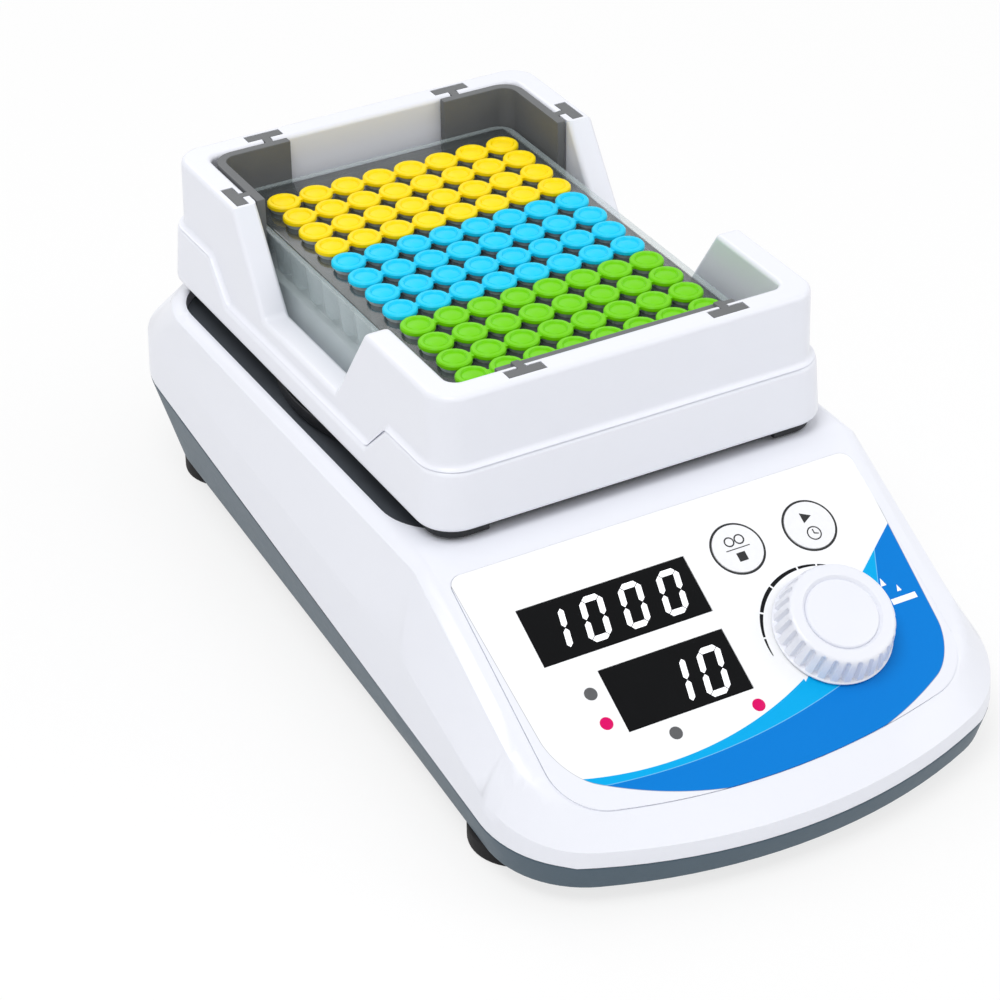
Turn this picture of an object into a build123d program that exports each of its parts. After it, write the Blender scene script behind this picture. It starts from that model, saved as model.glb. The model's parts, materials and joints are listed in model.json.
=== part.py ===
from build123d import *
import os
from math import cos, pi, radians, sin, sqrt, tan

os.makedirs("parts", exist_ok=True)

# Driving sizes in millimetres. X is to the right, Y to the back, Z up and the floor is z = 0.
# Everything is drawn about the motor axis, and saved about the middle of the base.
# At rest the tray stands one orbit radius behind the motor axis.
ORBIT = 2.0
WALL = 2.5
SEAT = 0.3
RUNNING_FIT = 0.05
PIVOT_PLAY = 0.4

# Standard microplate footprint and its grid of small tubes.
PLATE_LENGTH = 127.76
PLATE_WIDTH = 85.48
PITCH = 9.0
ROWS = 12
COLUMNS = 8
ROWS_PER_COLOUR = 4
GRID_OFFSET = -2.0

# Plan of the housing: the flared foot line and the ridge round the top.
BACK = 95.0
FRONT = 148.5
BACK_CORNER = 24.0
FRONT_CORNER = 26.0
BOW_ANGLE = 22.0
MID_HALF_WIDTH = 63.0
FLARE = 0.030
RIDGE_HALF_WIDTH = 59.3
RIDGE_BACK = 78.0
RIDGE_FRONT = 141.5
RIDGE_BACK_CORNER = 24.0
RIDGE_FRONT_CORNER = 20.0
RIDGE_EASE = 2.6
RIDGE_SHARE = 0.10

# Side view of the housing: the parting line, the soft crease above it and the top edge.
FOOT_HEIGHT = 5.0
FOOT_RADIUS = 12.0
PARTING_HEIGHT = 23.0
PARTING_SLOPE = 0.08
CREASE_SHARE = 0.42
CREASE_LEAST = 4.2
CREASE_INSET = 0.3
RIDGE_HEIGHT = 57.0
PAN_DRAFT = 0.28
PAN_BACK_EASE = 4.0
PAN_FRONT_EASE = 1.5
FEET = ((52.5, -107.0), (42.0, 70.0))

# Deck under the tray.
DECK_DEPTH = 3.0
DECK_HALF_WIDTH = 56.0
DECK_FRONT_LAND = 7.0
DECK_BACK_LAND = 6.0
DECK_CORNER = 16.0

# Sloping panel and what is on it, measured across and down from its top edge.
PANEL_SLOPE = 29.5
PANEL_TOP = -72.2
LABEL_TOP = 6.3
LABEL_END = 75.6
LABEL_BOW = 7.6
LABEL_HALF_WIDTH = 54.3
LABEL_TOP_CORNER = 3.2
LABEL_END_CORNER = 14.0
LABEL_SHEET = 0.5
LABEL_RECESS = 0.3
LABEL_EDGE_GAP = 0.15
SPEED_WINDOW = (-20.65, 26.5, 44.1, 14.8)
TIME_WINDOW = (-15.1, 46.9, 32.6, 15.8)
WINDOW_SHEET = 1.5
WINDOW_GAP = 0.2
DIGIT_MARGIN = 1.5
LAMPS = ((-35.7, 43.5), (-35.6, 51.3), (-21.4, 58.8), (0.4, 59.1))
LAMP_SIDE = 2.6
LAMP_GAP = 0.15
KEYS = {"key_mode": (15.1, 21.5), "key_start": (35.0, 21.6)}
KEY_RADIUS = 6.3
KEY_GAP = 0.6
KEY_PROUD = 0.5
KEY_THICK = 1.0
KEY_TRAVEL = 0.5
KEY_STEM = 4.4
KEY_STEM_LENGTH = 4.1
KNOB_AT = (26.6, 47.7)
KNOB_RADIUS = 15.2
KNOB_TOP_RADIUS = 12.7
KNOB_HEIGHT = 8.5
KNOB_FLANGE = 1.2
KNOB_FLUTES = 22
FLUTE_DEPTH = 1.3
KNOB_GAP = 0.4
CAP_DISC_RADIUS = 8.5
CAP_DISC_DEPTH = 0.8
DIAL_SHAFT = 2.0
DIAL_SHAFT_DEPTH = 4.0
DIAL_BODY = 12.0

# Control board hanging from the panel.
BOARD_DEPTH = 9.0
BOARD_SHEET = 1.6
BOARD_MIDDLE = 39.0
BOARD_SIZE = (86.0, 60.0)
BOARD_POSTS = ((39.0, 13.0), (39.0, 65.0))
SWITCH_SIDE = 6.0
SWITCH_PLUNGER = 1.0

# Screw posts, small screws and their holes. These hidden pieces are six-sided.
SCREW_POSTS = ((50.0, -80.0), (46.0, 48.0))
PLATE_POSTS = ((44.0, -30.0), (44.0, 12.0))
TRAY_SCREWS = ((18.0, 42.0), (18.0, -42.0))
POST_RADIUS = 4.0
POST_JOIN = 24.0
THREAD_DEPTH = 12.0
SCREW_RADIUS = 1.3
SCREW_HEAD = 3.0
SCREW_HEAD_HEIGHT = 2.0
SCREW_PLAY = 0.4
GROMMET = 2.5
GROMMET_RADIUS = 5.0

# Rear bay with the power socket and the switch.
BAY_HALF = 31.0
BAY_WALL = 84.0
BAY_LOW = 10.0
BAY_HIGH = 27.0
BAY_MIDDLE = 18.5
JACK_X = 16.0
JACK_SIDE = 11.0
JACK_FLANGE = 14.0
JACK_HOLE = 2.8
JACK_PIN = 1.0
SOCKET_DEPTH = 12.0
FLANGE_SHEET = 1.4
ROCKER_X = -12.0
ROCKER_WIDE = 17.0
ROCKER_TALL = 11.0
ROCKER_GAP = 0.35
ROCKER_TIP = 8.0
ROCKER_PIVOT_DEPTH = 2.5
ROCKER_PIN = 1.2
FRAME_WALL = 1.5

# Drive, from the disc under the tray down to the motor.
DISC_RADIUS = 53.0
DISC_SHEET = 3.3
DISC_LIFT = 1.6
HUB_RADIUS = 12.0
HUB_DEPTH = 5.6
BEARING_RADIUS = 8.5
BEARING_HEIGHT = 6.0
PIN_RADIUS = 3.0
PIN_REACH = 1.4
ECCENTRIC_GAP = 1.0
ECCENTRIC_HEIGHT = 7.0
ECCENTRIC_RADIUS = 10.0
SHAFT_RADIUS = 3.0
SHAFT_COVER = 3.0
SHAFT_DEPTH = 6.0
WEIGHT_RADIUS = 20.0
WEIGHT_EDGE = 3.0
PLATE_GAP = 2.0
PLATE_SHEET = 2.0
MOTOR_SIDE = 40.0
MOTOR_HEIGHT = 26.0
MOTOR_CORNER = 4.0
MOTOR_BOSS = 4.6
IDLER_X = 32.0
IDLER_Y = 30.0
IDLER_FOOT = 4.0
IDLER_PIN = 2.8
IDLER_BOSS = 8.0
IDLER_BEARING = 6.0
IDLER_FLOOR = 0.6
ARM_RADIUS = 7.0
ARM_GAP = 1.0

# Tray.
CARRIER_SHEET = 1.6
CARRIER_SETBACK = 2.4
CARRIER_CORNER = 7.0
PAD_DEPTH = 1.2
PAD_SIZE = (13.0, 9.0)
TRAY_FLOOR = 3.0
LOWER_TIER = 15.5
UPPER_TIER = 18.5
POCKET_PLAY_X = 1.56
POCKET_PLAY_Y = 0.58
POCKET_CORNER = 3.0
RIM_WALL = 7.5
RIM_DRAFT = 1.2
RIM_CORNER = 8.0
LEDGE_OUT = 2.2
LOWER_DRAFT = 4.2
LOWER_CORNER = 9.5
SIDE_LEDGE_RISE = 5.8
SIDE_LEDGE_HALF = 38.0
NOTCH_RISE = 10.3
NOTCH_HALF = 19.5
NOTCH_LEAN = 0.66

# Guides that hang in the rim by T-shaped heads.
HEAD_BAR = 9.6
HEAD_DEPTH = 3.0
HEAD_NECK = 2.2
HEAD_HEIGHT = 4.0
HEAD_GAP = 0.15
HEAD_X = 27.0
HEAD_Y = 41.0
GUIDE_OFF = 0.35
GUIDE_PLAY = 0.4
GUIDE_SHEET = 2.4
GUIDE_CORNER = 6.0
FRONT_GUIDE_DROP = 1.0
FRONT_GUIDE_LIFT = 3.0

# Rack and caps.
SKIRT_HEIGHT = 12.0
SKIRT_STEP = 2.2
SKIRT_CORNER = 3.2
RACK_RISE = 8.4
RACK_CORNER = 5.0
RACK_WALL = 1.8
SHELF = 1.5
DECK_PLAY = 0.1
TUBE_RADIUS = 3.1
TUBE_LENGTH = 16.8
CAP_RADIUS = 4.3
CAP_HEIGHT = 2.3
LINK_WIDTH = 2.0
LINK_SHEET = 0.8
LINK_NUB = 0.6

# Heights worked out from those.
DECK_HEIGHT = RIDGE_HEIGHT - DECK_DEPTH
DISC_BOTTOM = DECK_HEIGHT + DISC_LIFT
DISC_TOP = DISC_BOTTOM + DISC_SHEET
TRAY_BOTTOM = DISC_TOP + CARRIER_SHEET
TRAY_INSIDE = TRAY_BOTTOM + TRAY_FLOOR
LEDGE = TRAY_BOTTOM + LOWER_TIER
TRAY_TOP = LEDGE + UPPER_TIER
SIDE_LEDGE = TRAY_BOTTOM + SIDE_LEDGE_RISE
NOTCH_FLOOR = TRAY_BOTTOM + NOTCH_RISE
RACK_LEDGE = TRAY_INSIDE + SKIRT_HEIGHT
RACK_TOP = RACK_LEDGE + RACK_RISE
GUIDE_LOW = RACK_LEDGE + SEAT
CAP_BOTTOM = RACK_TOP + SEAT
HUB_BOTTOM = DISC_BOTTOM - HUB_DEPTH
PIN_TOP = DISC_BOTTOM + PIN_REACH
ECCENTRIC_TOP = HUB_BOTTOM - ECCENTRIC_GAP
ECCENTRIC_LOW = ECCENTRIC_TOP - ECCENTRIC_HEIGHT
SHAFT_TOP = ECCENTRIC_TOP - SHAFT_COVER
PLATE_TOP = ECCENTRIC_LOW - PLATE_GAP
PLATE_LOW = PLATE_TOP - PLATE_SHEET
MOTOR_BOTTOM = PLATE_LOW - MOTOR_HEIGHT
PLATE_POST_TOP = PLATE_LOW - GROMMET
IDLER_BEARING_TOP = PLATE_TOP + IDLER_BEARING
SCREW_DEEP = DISC_TOP - WALL + SEAT
SCREW_FLOOR = FOOT_HEIGHT + WALL + SCREW_HEAD_HEIGHT

# Plan sizes worked out from those.
SHIFT_Y = (FRONT - BACK) / 2
TRAY_Y = ORBIT
GRID_Y = TRAY_Y + GRID_OFFSET
POCKET_X = PLATE_WIDTH / 2 + POCKET_PLAY_X
POCKET_Y = PLATE_LENGTH / 2 + POCKET_PLAY_Y
RIM_X = POCKET_X + RIM_WALL
RIM_Y = POCKET_Y + RIM_WALL
LOWER_X = RIM_X + LEDGE_OUT
LOWER_Y = RIM_Y + LEDGE_OUT
CARRIER_X = LOWER_X - CARRIER_SETBACK
CARRIER_Y = LOWER_Y - CARRIER_SETBACK
RACK_X = PLATE_WIDTH / 2 - SKIRT_STEP
RACK_Y = PLATE_LENGTH / 2 - SKIRT_STEP
FRONT_GUIDE_SHEET = POCKET_PLAY_Y + SKIRT_STEP - GUIDE_OFF - GUIDE_PLAY
RIM_TOP_WALL = RIM_WALL - tan(radians(RIM_DRAFT)) * (TRAY_TOP - TRAY_BOTTOM)
HEAD_OUT = RIM_TOP_WALL / 2

SLOPE_SIN = sin(radians(PANEL_SLOPE))
SLOPE_COS = cos(radians(PANEL_SLOPE))
SLOPE_TAN = tan(radians(PANEL_SLOPE))
PANEL = Plane(origin=(0, PANEL_TOP, RIDGE_HEIGHT), x_dir=(1, 0, 0), z_dir=(0, -SLOPE_SIN, SLOPE_COS))

# Depths from the panel face, positive outwards.
LABEL_FACE = LABEL_SHEET - LABEL_RECESS
KEY_SEAT = KEY_PROUD - KEY_THICK
STEM_END = KEY_SEAT - KEY_STEM_LENGTH
KNOB_BASE = LABEL_FACE + KNOB_GAP
THROUGH = WALL + 2.0

# Cutters run this far past the face that they open.
OVERCUT = 1.0


def save(shape, name):
    export_step(Pos(0, SHIFT_Y, 0) * shape, "parts/" + name + ".step")


def on_panel(x, down, lift=0.0):
    return PANEL * Pos(x, -down, lift)


def box(x, y, z):
    # Block between two limits on each axis.
    size = (x[1] - x[0], y[1] - y[0], z[1] - z[0])
    return Pos((x[0] + x[1]) / 2, (y[0] + y[1]) / 2, (z[0] + z[1]) / 2) * Box(*size)


def rod(radius, low, high, x=0.0, y=0.0):
    return Pos(x, y, (low + high) / 2) * Cylinder(radius, high - low)


def prism(radius, low, high, x=0.0, y=0.0, sides=6):
    return Pos(x, y, low) * extrude(RegularPolygon(radius, sides), high - low)


def slab(half_x, half_y, corner, low, high, taper=0.0, y=0.0):
    # Rounded rectangle raised from low to high; a positive taper draws it in on the way up.
    outline = RectangleRounded(2 * half_x, 2 * half_y, corner)
    return Pos(0, y, low) * extrude(outline, high - low, taper=taper)


def four(places):
    return [(sign * x, y) for x, y in places for sign in (1, -1)]


def panel_rod(place, radius, low, high):
    return on_panel(place[0], place[1], (low + high) / 2) * Cylinder(radius, high - low)


def panel_prism(place, radius, low, high):
    return on_panel(place[0], place[1], low) * extrude(RegularPolygon(radius, 6), high - low)


def panel_box(place, wide, tall, low, high):
    return on_panel(place[0], place[1], (low + high) / 2) * Box(wide, tall, high - low)


# Housing skin. A loop is the plan outline as ten edges, lifted to a height that depends on y.
def half_width(y):
    return MID_HALF_WIDTH - FLARE * y


def ridge_width(y):
    return RIDGE_HALF_WIDTH


def parting(y):
    return PARTING_HEIGHT + PARTING_SLOPE * y


def crease(y):
    # The soft fold in the wall, part of the way from the parting line to the top edge.
    top = min(RIDGE_HEIGHT, RIDGE_HEIGHT + (y - PANEL_TOP) * SLOPE_TAN)
    return parting(y) + max(CREASE_LEAST, CREASE_SHARE * (top - parting(y)))


def pan_width(y):
    return half_width(y) - PAN_DRAFT * (parting(y) - FOOT_HEIGHT)


def top_line(drop, level):
    # Height under the panel plane lowered by drop, kept below a level deck.
    break_y = PANEL_TOP + (level - RIDGE_HEIGHT + drop / SLOPE_COS) / SLOPE_TAN

    def height(y):
        return min(level, level + (y - break_y) * SLOPE_TAN)

    return break_y, height


def loop_points(inset, back, front, back_corner, front_corner, width, height, break_y=PANEL_TOP):
    s = sin(radians(BOW_ANGLE))
    c = cos(radians(BOW_ANGLE))
    half = sin(radians(BOW_ANGLE) / 2 + pi / 4)
    other = cos(radians(BOW_ANGLE) / 2 + pi / 4)
    mid = sqrt(0.5)
    rb = back_corner - inset
    rf = front_corner - inset
    wb = width(back - back_corner) - inset
    wf = width(front_corner - front) - inset
    break_x = width(break_y) - inset
    side = back - back_corner
    # The front edge is one shallow arc that meets both corner arcs smoothly.
    centre_x = wf - rf
    bow = (centre_x + front_corner * s) / s
    centre_y = -front + bow * (1 - c) + front_corner * c
    right = [
        [(wb - rb, back - inset), (wb - rb + rb * mid, side + rb * mid), (wb, side)],
        [(wb, side), (break_x, break_y)],
        [(break_x, break_y), (wf, centre_y)],
        [(wf, centre_y), (centre_x + rf * half, centre_y - rf * other), (centre_x + rf * s, centre_y - rf * c)],
    ]
    end = right[3][2]
    start = right[0][0]
    front_arc = [end, (0, -front + inset), (-end[0], end[1])]
    left = [[(-x, y) for x, y in edge] for edge in reversed(right)]
    back_line = [(-start[0], start[1]), start]
    edges = right + [front_arc] + left + [back_line]
    return [[Vector(x, y, height(y)) for x, y in edge] for edge in edges]


def blend(first, second, share):
    return [[a + (b - a) * share for a, b in zip(p, q)] for p, q in zip(first, second)]


def curve(points):
    if len(points) == 2:
        return Edge.make_line(*points)
    return Edge.make_three_point_arc(*points)


def bands(loops):
    faces = []
    for low, high in zip(loops, loops[1:]):
        for a, b in zip(low, high):
            faces.append(Face.make_surface_from_curves(curve(a), curve(b)))
    return faces


def flat_lid(loop):
    return Face(Wire([curve(p) for p in loop]))


def bent_lids(loop):
    # The loop lies on the level deck and on the sloping panel, which meet on one line.
    right_point = loop[1][1]
    fold = [right_point, Vector(-right_point.X, right_point.Y, right_point.Z)]
    deck = [loop[9], loop[0], loop[1], fold, loop[7], loop[8]]
    panel = [fold, loop[2], loop[3], loop[4], loop[5], loop[6]]
    return [flat_lid(deck), flat_lid(panel)]


def skin(loops, bent):
    top = bent_lids(loops[-1]) if bent else [flat_lid(loops[-1])]
    return Solid(Shell(bands(loops) + [flat_lid(loops[0])] + top))


def body_loop(inset, height, break_y=PANEL_TOP):
    return loop_points(inset, BACK, FRONT, BACK_CORNER, FRONT_CORNER, half_width, height, break_y)


def ridge_loop(inset, drop, level):
    break_y, height = top_line(drop, level)
    return loop_points(
        inset, RIDGE_BACK, RIDGE_FRONT, RIDGE_BACK_CORNER, RIDGE_FRONT_CORNER, ridge_width, height, break_y
    )


def housing_outside():
    low = body_loop(0, parting)
    fold = body_loop(CREASE_INSET, crease)
    ridge = ridge_loop(0, 0, RIDGE_HEIGHT)
    # One narrow strip eases the ridge, from just under it to just inside it.
    under = blend(ridge, fold, RIDGE_SHARE)
    return skin([low, fold, under, ridge_loop(RIDGE_EASE, 0, RIDGE_HEIGHT)], True)


def housing_inside():
    level = DECK_HEIGHT - WALL
    break_y, height = top_line(WALL, level)

    def below(y):
        return parting(y) - OVERCUT

    low = body_loop(WALL, below, break_y)
    fold = body_loop(WALL + CREASE_INSET, crease, break_y)
    return skin([low, fold, ridge_loop(WALL, WALL, level)], True)


def label_outline(inset=0.0):
    # Small corners at the top, large ones and a bowed edge at the bottom.
    wide = LABEL_HALF_WIDTH - inset
    top = -LABEL_TOP - inset
    side_end = LABEL_BOW - LABEL_END + inset
    with BuildSketch() as sketch:
        with BuildLine():
            Polyline((-wide, side_end), (-wide, top), (wide, top), (wide, side_end))
            ThreePointArc((wide, side_end), (0, -LABEL_END + inset), (-wide, side_end))
        make_face()
        fillet(sketch.vertices().group_by(Axis.Y)[-1], LABEL_TOP_CORNER)
        fillet(sketch.vertices().group_by(Axis.Y)[0], LABEL_END_CORNER)
    return sketch.sketch


def label_slab(inset, low, high):
    return PANEL * Pos(0, 0, low) * extrude(label_outline(inset), high - low)


def window_cut(window, gap, low, high):
    x, down, wide, tall = window
    return panel_box((x, down), wide + 2 * gap, tall + 2 * gap, low, high)


def deck_recess():
    front = PANEL_TOP + DECK_FRONT_LAND
    back = RIDGE_BACK - DECK_BACK_LAND
    middle = (front + back) / 2
    return slab(DECK_HALF_WIDTH, (back - front) / 2, DECK_CORNER, DECK_HEIGHT, RIDGE_HEIGHT + OVERCUT, 0, middle)


def orbit_opening(radius, x=0.0, y=0.0):
    return rod(radius + ORBIT + OVERCUT, DECK_HEIGHT - THROUGH, DECK_HEIGHT + OVERCUT, x, y)


def housing():
    posts = [prism(POST_RADIUS, POST_JOIN, RIDGE_HEIGHT, x, y) for x, y in four(SCREW_POSTS)]
    shape = housing_outside() - housing_inside()
    shape = shape + (Compound(posts) & housing_outside())
    cuts = [deck_recess(), orbit_opening(HUB_RADIUS)]
    cuts += [orbit_opening(IDLER_BOSS, side * IDLER_X, IDLER_Y) for side in (1, -1)]
    cuts += [prism(SCREW_RADIUS, POST_JOIN - OVERCUT, POST_JOIN + THREAD_DEPTH, x, y) for x, y in four(SCREW_POSTS)]
    cuts.append(label_slab(-LABEL_EDGE_GAP, -LABEL_RECESS, OVERCUT))
    for window in (SPEED_WINDOW, TIME_WINDOW):
        cuts.append(window_cut(window, WINDOW_GAP, -THROUGH, OVERCUT))
    lamp_hole = LAMP_SIDE + 2 * LAMP_GAP
    cuts += [panel_box(lamp, lamp_hole, lamp_hole, -THROUGH, OVERCUT) for lamp in LAMPS]
    for place in KEYS.values():
        stem_hole = KEY_STEM + KEY_GAP
        cuts.append(panel_rod(place, KEY_RADIUS + KEY_GAP, KEY_SEAT - KEY_TRAVEL - SEAT, OVERCUT))
        cuts.append(panel_box(place, stem_hole, stem_hole, -THROUGH, OVERCUT))
    cuts.append(panel_rod(KNOB_AT, DIAL_SHAFT + SEAT, -THROUGH, OVERCUT))
    for cut in cuts:
        shape = shape - cut
    return shape


def pan_loop(inset, base):
    back = BACK - PAN_DRAFT * (parting(BACK) - FOOT_HEIGHT)
    front = FRONT - PAN_DRAFT * (parting(-FRONT) - FOOT_HEIGHT)
    back_corner = BACK_CORNER - PAN_BACK_EASE
    front_corner = FRONT_CORNER - PAN_FRONT_EASE
    return loop_points(inset, back, front, back_corner, front_corner, pan_width, lambda y: base)


def pan():
    def above(y):
        return parting(y) + OVERCUT

    floor = FOOT_HEIGHT + WALL
    outside = skin([pan_loop(0, FOOT_HEIGHT), body_loop(0, parting)], False)
    inside = skin([pan_loop(WALL, floor), body_loop(WALL, above)], False)
    bay = box((-BAY_HALF - WALL, BAY_HALF + WALL), (BAY_WALL - WALL, BACK), (FOOT_HEIGHT, BAY_HIGH + WALL))
    shape = outside - inside + (bay & outside)
    for x, y in four(SCREW_POSTS):
        shape = shape + prism(POST_RADIUS + SCREW_PLAY, FOOT_HEIGHT + WALL / 2, POST_JOIN, x, y)
    for x, y in four(PLATE_POSTS):
        shape = shape + prism(POST_RADIUS, FOOT_HEIGHT + WALL / 2, PLATE_POST_TOP, x, y)
    cuts = [box((-BAY_HALF, BAY_HALF), (BAY_WALL, BACK + OVERCUT), (BAY_LOW, BAY_HIGH))]
    for x, y in four(SCREW_POSTS):
        cuts.append(prism(SCREW_RADIUS + SCREW_PLAY, FOOT_HEIGHT, POST_JOIN + OVERCUT, x, y))
        cuts.append(prism(SCREW_HEAD + SCREW_PLAY, FOOT_HEIGHT - OVERCUT, SCREW_FLOOR, x, y))
    for x, y in four(PLATE_POSTS):
        cuts.append(prism(SCREW_RADIUS, PLATE_POST_TOP - THREAD_DEPTH, PLATE_POST_TOP + OVERCUT, x, y))
    cuts.append(bay_block(JACK_X, JACK_SIDE + SEAT, JACK_SIDE + SEAT, -WALL - OVERCUT, OVERCUT))
    wide = ROCKER_WIDE + 2 * FRAME_WALL + SEAT
    tall = ROCKER_TALL + 2 * FRAME_WALL + SEAT
    cuts.append(bay_block(ROCKER_X, wide, tall, -WALL - OVERCUT, OVERCUT))
    for cut in cuts:
        shape = shape - cut
    return shape


def bay_block(x, wide, tall, inner, outer):
    # Block in the wall of the rear bay; inner and outer are measured outwards from that wall.
    across = (x - wide / 2, x + wide / 2)
    return box(across, (BAY_WALL + inner, BAY_WALL + outer), (BAY_MIDDLE - tall / 2, BAY_MIDDLE + tall / 2))


def bay_rod(x, radius, inner, outer):
    middle = BAY_WALL + (inner + outer) / 2
    return Pos(x, middle, BAY_MIDDLE) * Rot(90, 0, 0) * Cylinder(radius, outer - inner)


def feet():
    return Compound([rod(FOOT_RADIUS, 0, FOOT_HEIGHT, x, y) for x, y in four(FEET)])


def screws(places, seat, length, y_shift=0.0, up=1):
    # Screws whose heads bear on the height seat and whose shanks point up or down.
    parts = []
    for x, y in four(places):
        head = sorted((seat, seat - up * SCREW_HEAD_HEIGHT))
        shank = sorted((seat, seat + up * length))
        shape = prism(SCREW_HEAD, *head, x, y + y_shift) + prism(SCREW_RADIUS, *shank, x, y + y_shift)
        parts.append(shape)
    return Compound(parts)


def housing_screws():
    return screws(SCREW_POSTS, SCREW_FLOOR, POST_JOIN + THREAD_DEPTH - OVERCUT - SCREW_FLOOR)


def plate_screws():
    return screws(PLATE_POSTS, PLATE_TOP, PLATE_TOP - PLATE_POST_TOP + THREAD_DEPTH - OVERCUT, 0, -1)


def tray_screws():
    return screws(TRAY_SCREWS, TRAY_INSIDE - SCREW_HEAD_HEIGHT, TRAY_INSIDE - SCREW_HEAD_HEIGHT - SCREW_DEEP, TRAY_Y, -1)


def panel_label():
    shape = label_slab(0, -LABEL_RECESS, LABEL_FACE)
    for window in (SPEED_WINDOW, TIME_WINDOW):
        shape = shape - window_cut(window, WINDOW_GAP, -OVERCUT, OVERCUT)
    for place in KEYS.values():
        shape = shape - panel_rod(place, KEY_RADIUS + KEY_GAP, -OVERCUT, OVERCUT)
    return shape - panel_rod(KNOB_AT, DIAL_SHAFT + SEAT, -OVERCUT, OVERCUT)


def window_pane(window):
    return window_cut(window, 0, -WINDOW_SHEET, LABEL_FACE)


def digit_module(window):
    return window_cut(window, -DIGIT_MARGIN, -BOARD_DEPTH, -WINDOW_SHEET - SEAT)


def indicator_lamps():
    top = -LABEL_RECESS - RUNNING_FIT
    return Compound([panel_box(lamp, LAMP_SIDE, LAMP_SIDE, -BOARD_DEPTH, top) for lamp in LAMPS])


def control_board():
    low = -BOARD_DEPTH - BOARD_SHEET
    shape = panel_box((0, BOARD_MIDDLE), *BOARD_SIZE, low, -BOARD_DEPTH)
    for place in four(BOARD_POSTS):
        shape = shape - panel_prism(place, SCREW_RADIUS + SCREW_PLAY, low - OVERCUT, 0)
    return shape


def board_posts():
    parts = []
    for place in four(BOARD_POSTS):
        post = panel_prism(place, 2 * SCREW_RADIUS, -BOARD_DEPTH, -WALL)
        pin = panel_prism(place, SCREW_RADIUS, -BOARD_DEPTH - BOARD_SHEET - OVERCUT, -BOARD_DEPTH)
        parts.append(post + pin)
    return Compound(parts)


def key_switches():
    top = STEM_END - KEY_TRAVEL - SEAT
    shoulder = top - SWITCH_PLUNGER
    parts = []
    for place in KEYS.values():
        body = panel_box(place, SWITCH_SIDE, SWITCH_SIDE, -BOARD_DEPTH, shoulder)
        plunger = panel_box(place, SWITCH_SIDE / 2, SWITCH_SIDE / 2, shoulder, top)
        parts.append(body + plunger)
    return Compound(parts)


def key(place):
    cap = panel_rod(place, KEY_RADIUS, KEY_SEAT, KEY_PROUD)
    return cap + panel_box(place, KEY_STEM, KEY_STEM, STEM_END, KEY_SEAT)


def dial_sensor():
    body = panel_box(KNOB_AT, DIAL_BODY, DIAL_BODY, -BOARD_DEPTH, -WALL - RUNNING_FIT)
    low = -WALL - DIAL_SHAFT_DEPTH - SEAT
    return body - panel_rod(KNOB_AT, DIAL_SHAFT + RUNNING_FIT, low, 0)


def fluted(radius, depth):
    # Star-shaped outline of the knob's grip: ribs and grooves take turns.
    steps = 2 * KNOB_FLUTES
    points = []
    for i in range(steps):
        r = radius - depth * (i % 2)
        points.append((r * cos(2 * pi * i / steps), r * sin(2 * pi * i / steps)))
    return make_face(Polyline(*points, close=True))


def knob():
    low = KNOB_BASE + KNOB_FLANGE
    foot = Pos(0, 0, low) * fluted(KNOB_RADIUS - OVERCUT, FLUTE_DEPTH)
    crown = Pos(0, 0, KNOB_HEIGHT) * fluted(KNOB_TOP_RADIUS, FLUTE_DEPTH)
    shape = rod(KNOB_RADIUS, KNOB_BASE, low) + loft([foot, crown], ruled=True)
    shape = shape - rod(CAP_DISC_RADIUS, KNOB_HEIGHT - CAP_DISC_DEPTH, KNOB_HEIGHT + OVERCUT)
    shape = shape - rod(DIAL_SHAFT, 0, KNOB_HEIGHT)
    return on_panel(*KNOB_AT) * shape


def knob_cap():
    return panel_rod(KNOB_AT, CAP_DISC_RADIUS - LABEL_EDGE_GAP, KNOB_HEIGHT - CAP_DISC_DEPTH, KNOB_HEIGHT)


def knob_shaft():
    return panel_rod(KNOB_AT, DIAL_SHAFT, -WALL - DIAL_SHAFT_DEPTH, KNOB_HEIGHT - CAP_DISC_DEPTH)


def grommets():
    parts = []
    for x, y in four(PLATE_POSTS):
        ring = prism(GROMMET_RADIUS, PLATE_POST_TOP, PLATE_LOW, x, y)
        parts.append(ring - prism(SCREW_RADIUS + SCREW_PLAY, PLATE_POST_TOP, PLATE_LOW, x, y))
    return Compound(parts)


def motor_plate():
    # Wide enough for its posts, with a tongue to the back that carries the idler bearings.
    edge = GROMMET_RADIUS + WALL
    front = min(y for x, y in PLATE_POSTS) - edge
    back = max(y for x, y in PLATE_POSTS) + edge
    half = max(x for x, y in PLATE_POSTS) + edge
    shape = box((-half, half), (front, back), (PLATE_LOW, PLATE_TOP))
    tongue = IDLER_X + IDLER_BOSS + WALL
    shape = shape + box((-tongue, tongue), (0, IDLER_Y + IDLER_BOSS + WALL), (PLATE_LOW, PLATE_TOP))
    for x, y in four(PLATE_POSTS):
        shape = shape - prism(SCREW_RADIUS + SCREW_PLAY, PLATE_LOW - OVERCUT, PLATE_TOP + OVERCUT, x, y)
    return shape - rod(MOTOR_BOSS + SCREW_PLAY, PLATE_LOW - OVERCUT, PLATE_TOP + OVERCUT)


def motor():
    can = extrude(Rectangle(MOTOR_SIDE, MOTOR_SIDE), MOTOR_HEIGHT)
    can = chamfer(can.edges().filter_by(Axis.Z), MOTOR_CORNER)
    shape = Pos(0, 0, MOTOR_BOTTOM) * can + rod(MOTOR_BOSS, PLATE_LOW, PLATE_TOP)
    return shape - rod(SHAFT_RADIUS + RUNNING_FIT, PLATE_LOW - SHAFT_DEPTH, PLATE_TOP + OVERCUT)


def drive_shaft():
    return rod(SHAFT_RADIUS, PLATE_LOW - SHAFT_DEPTH + SEAT, SHAFT_TOP)


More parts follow.
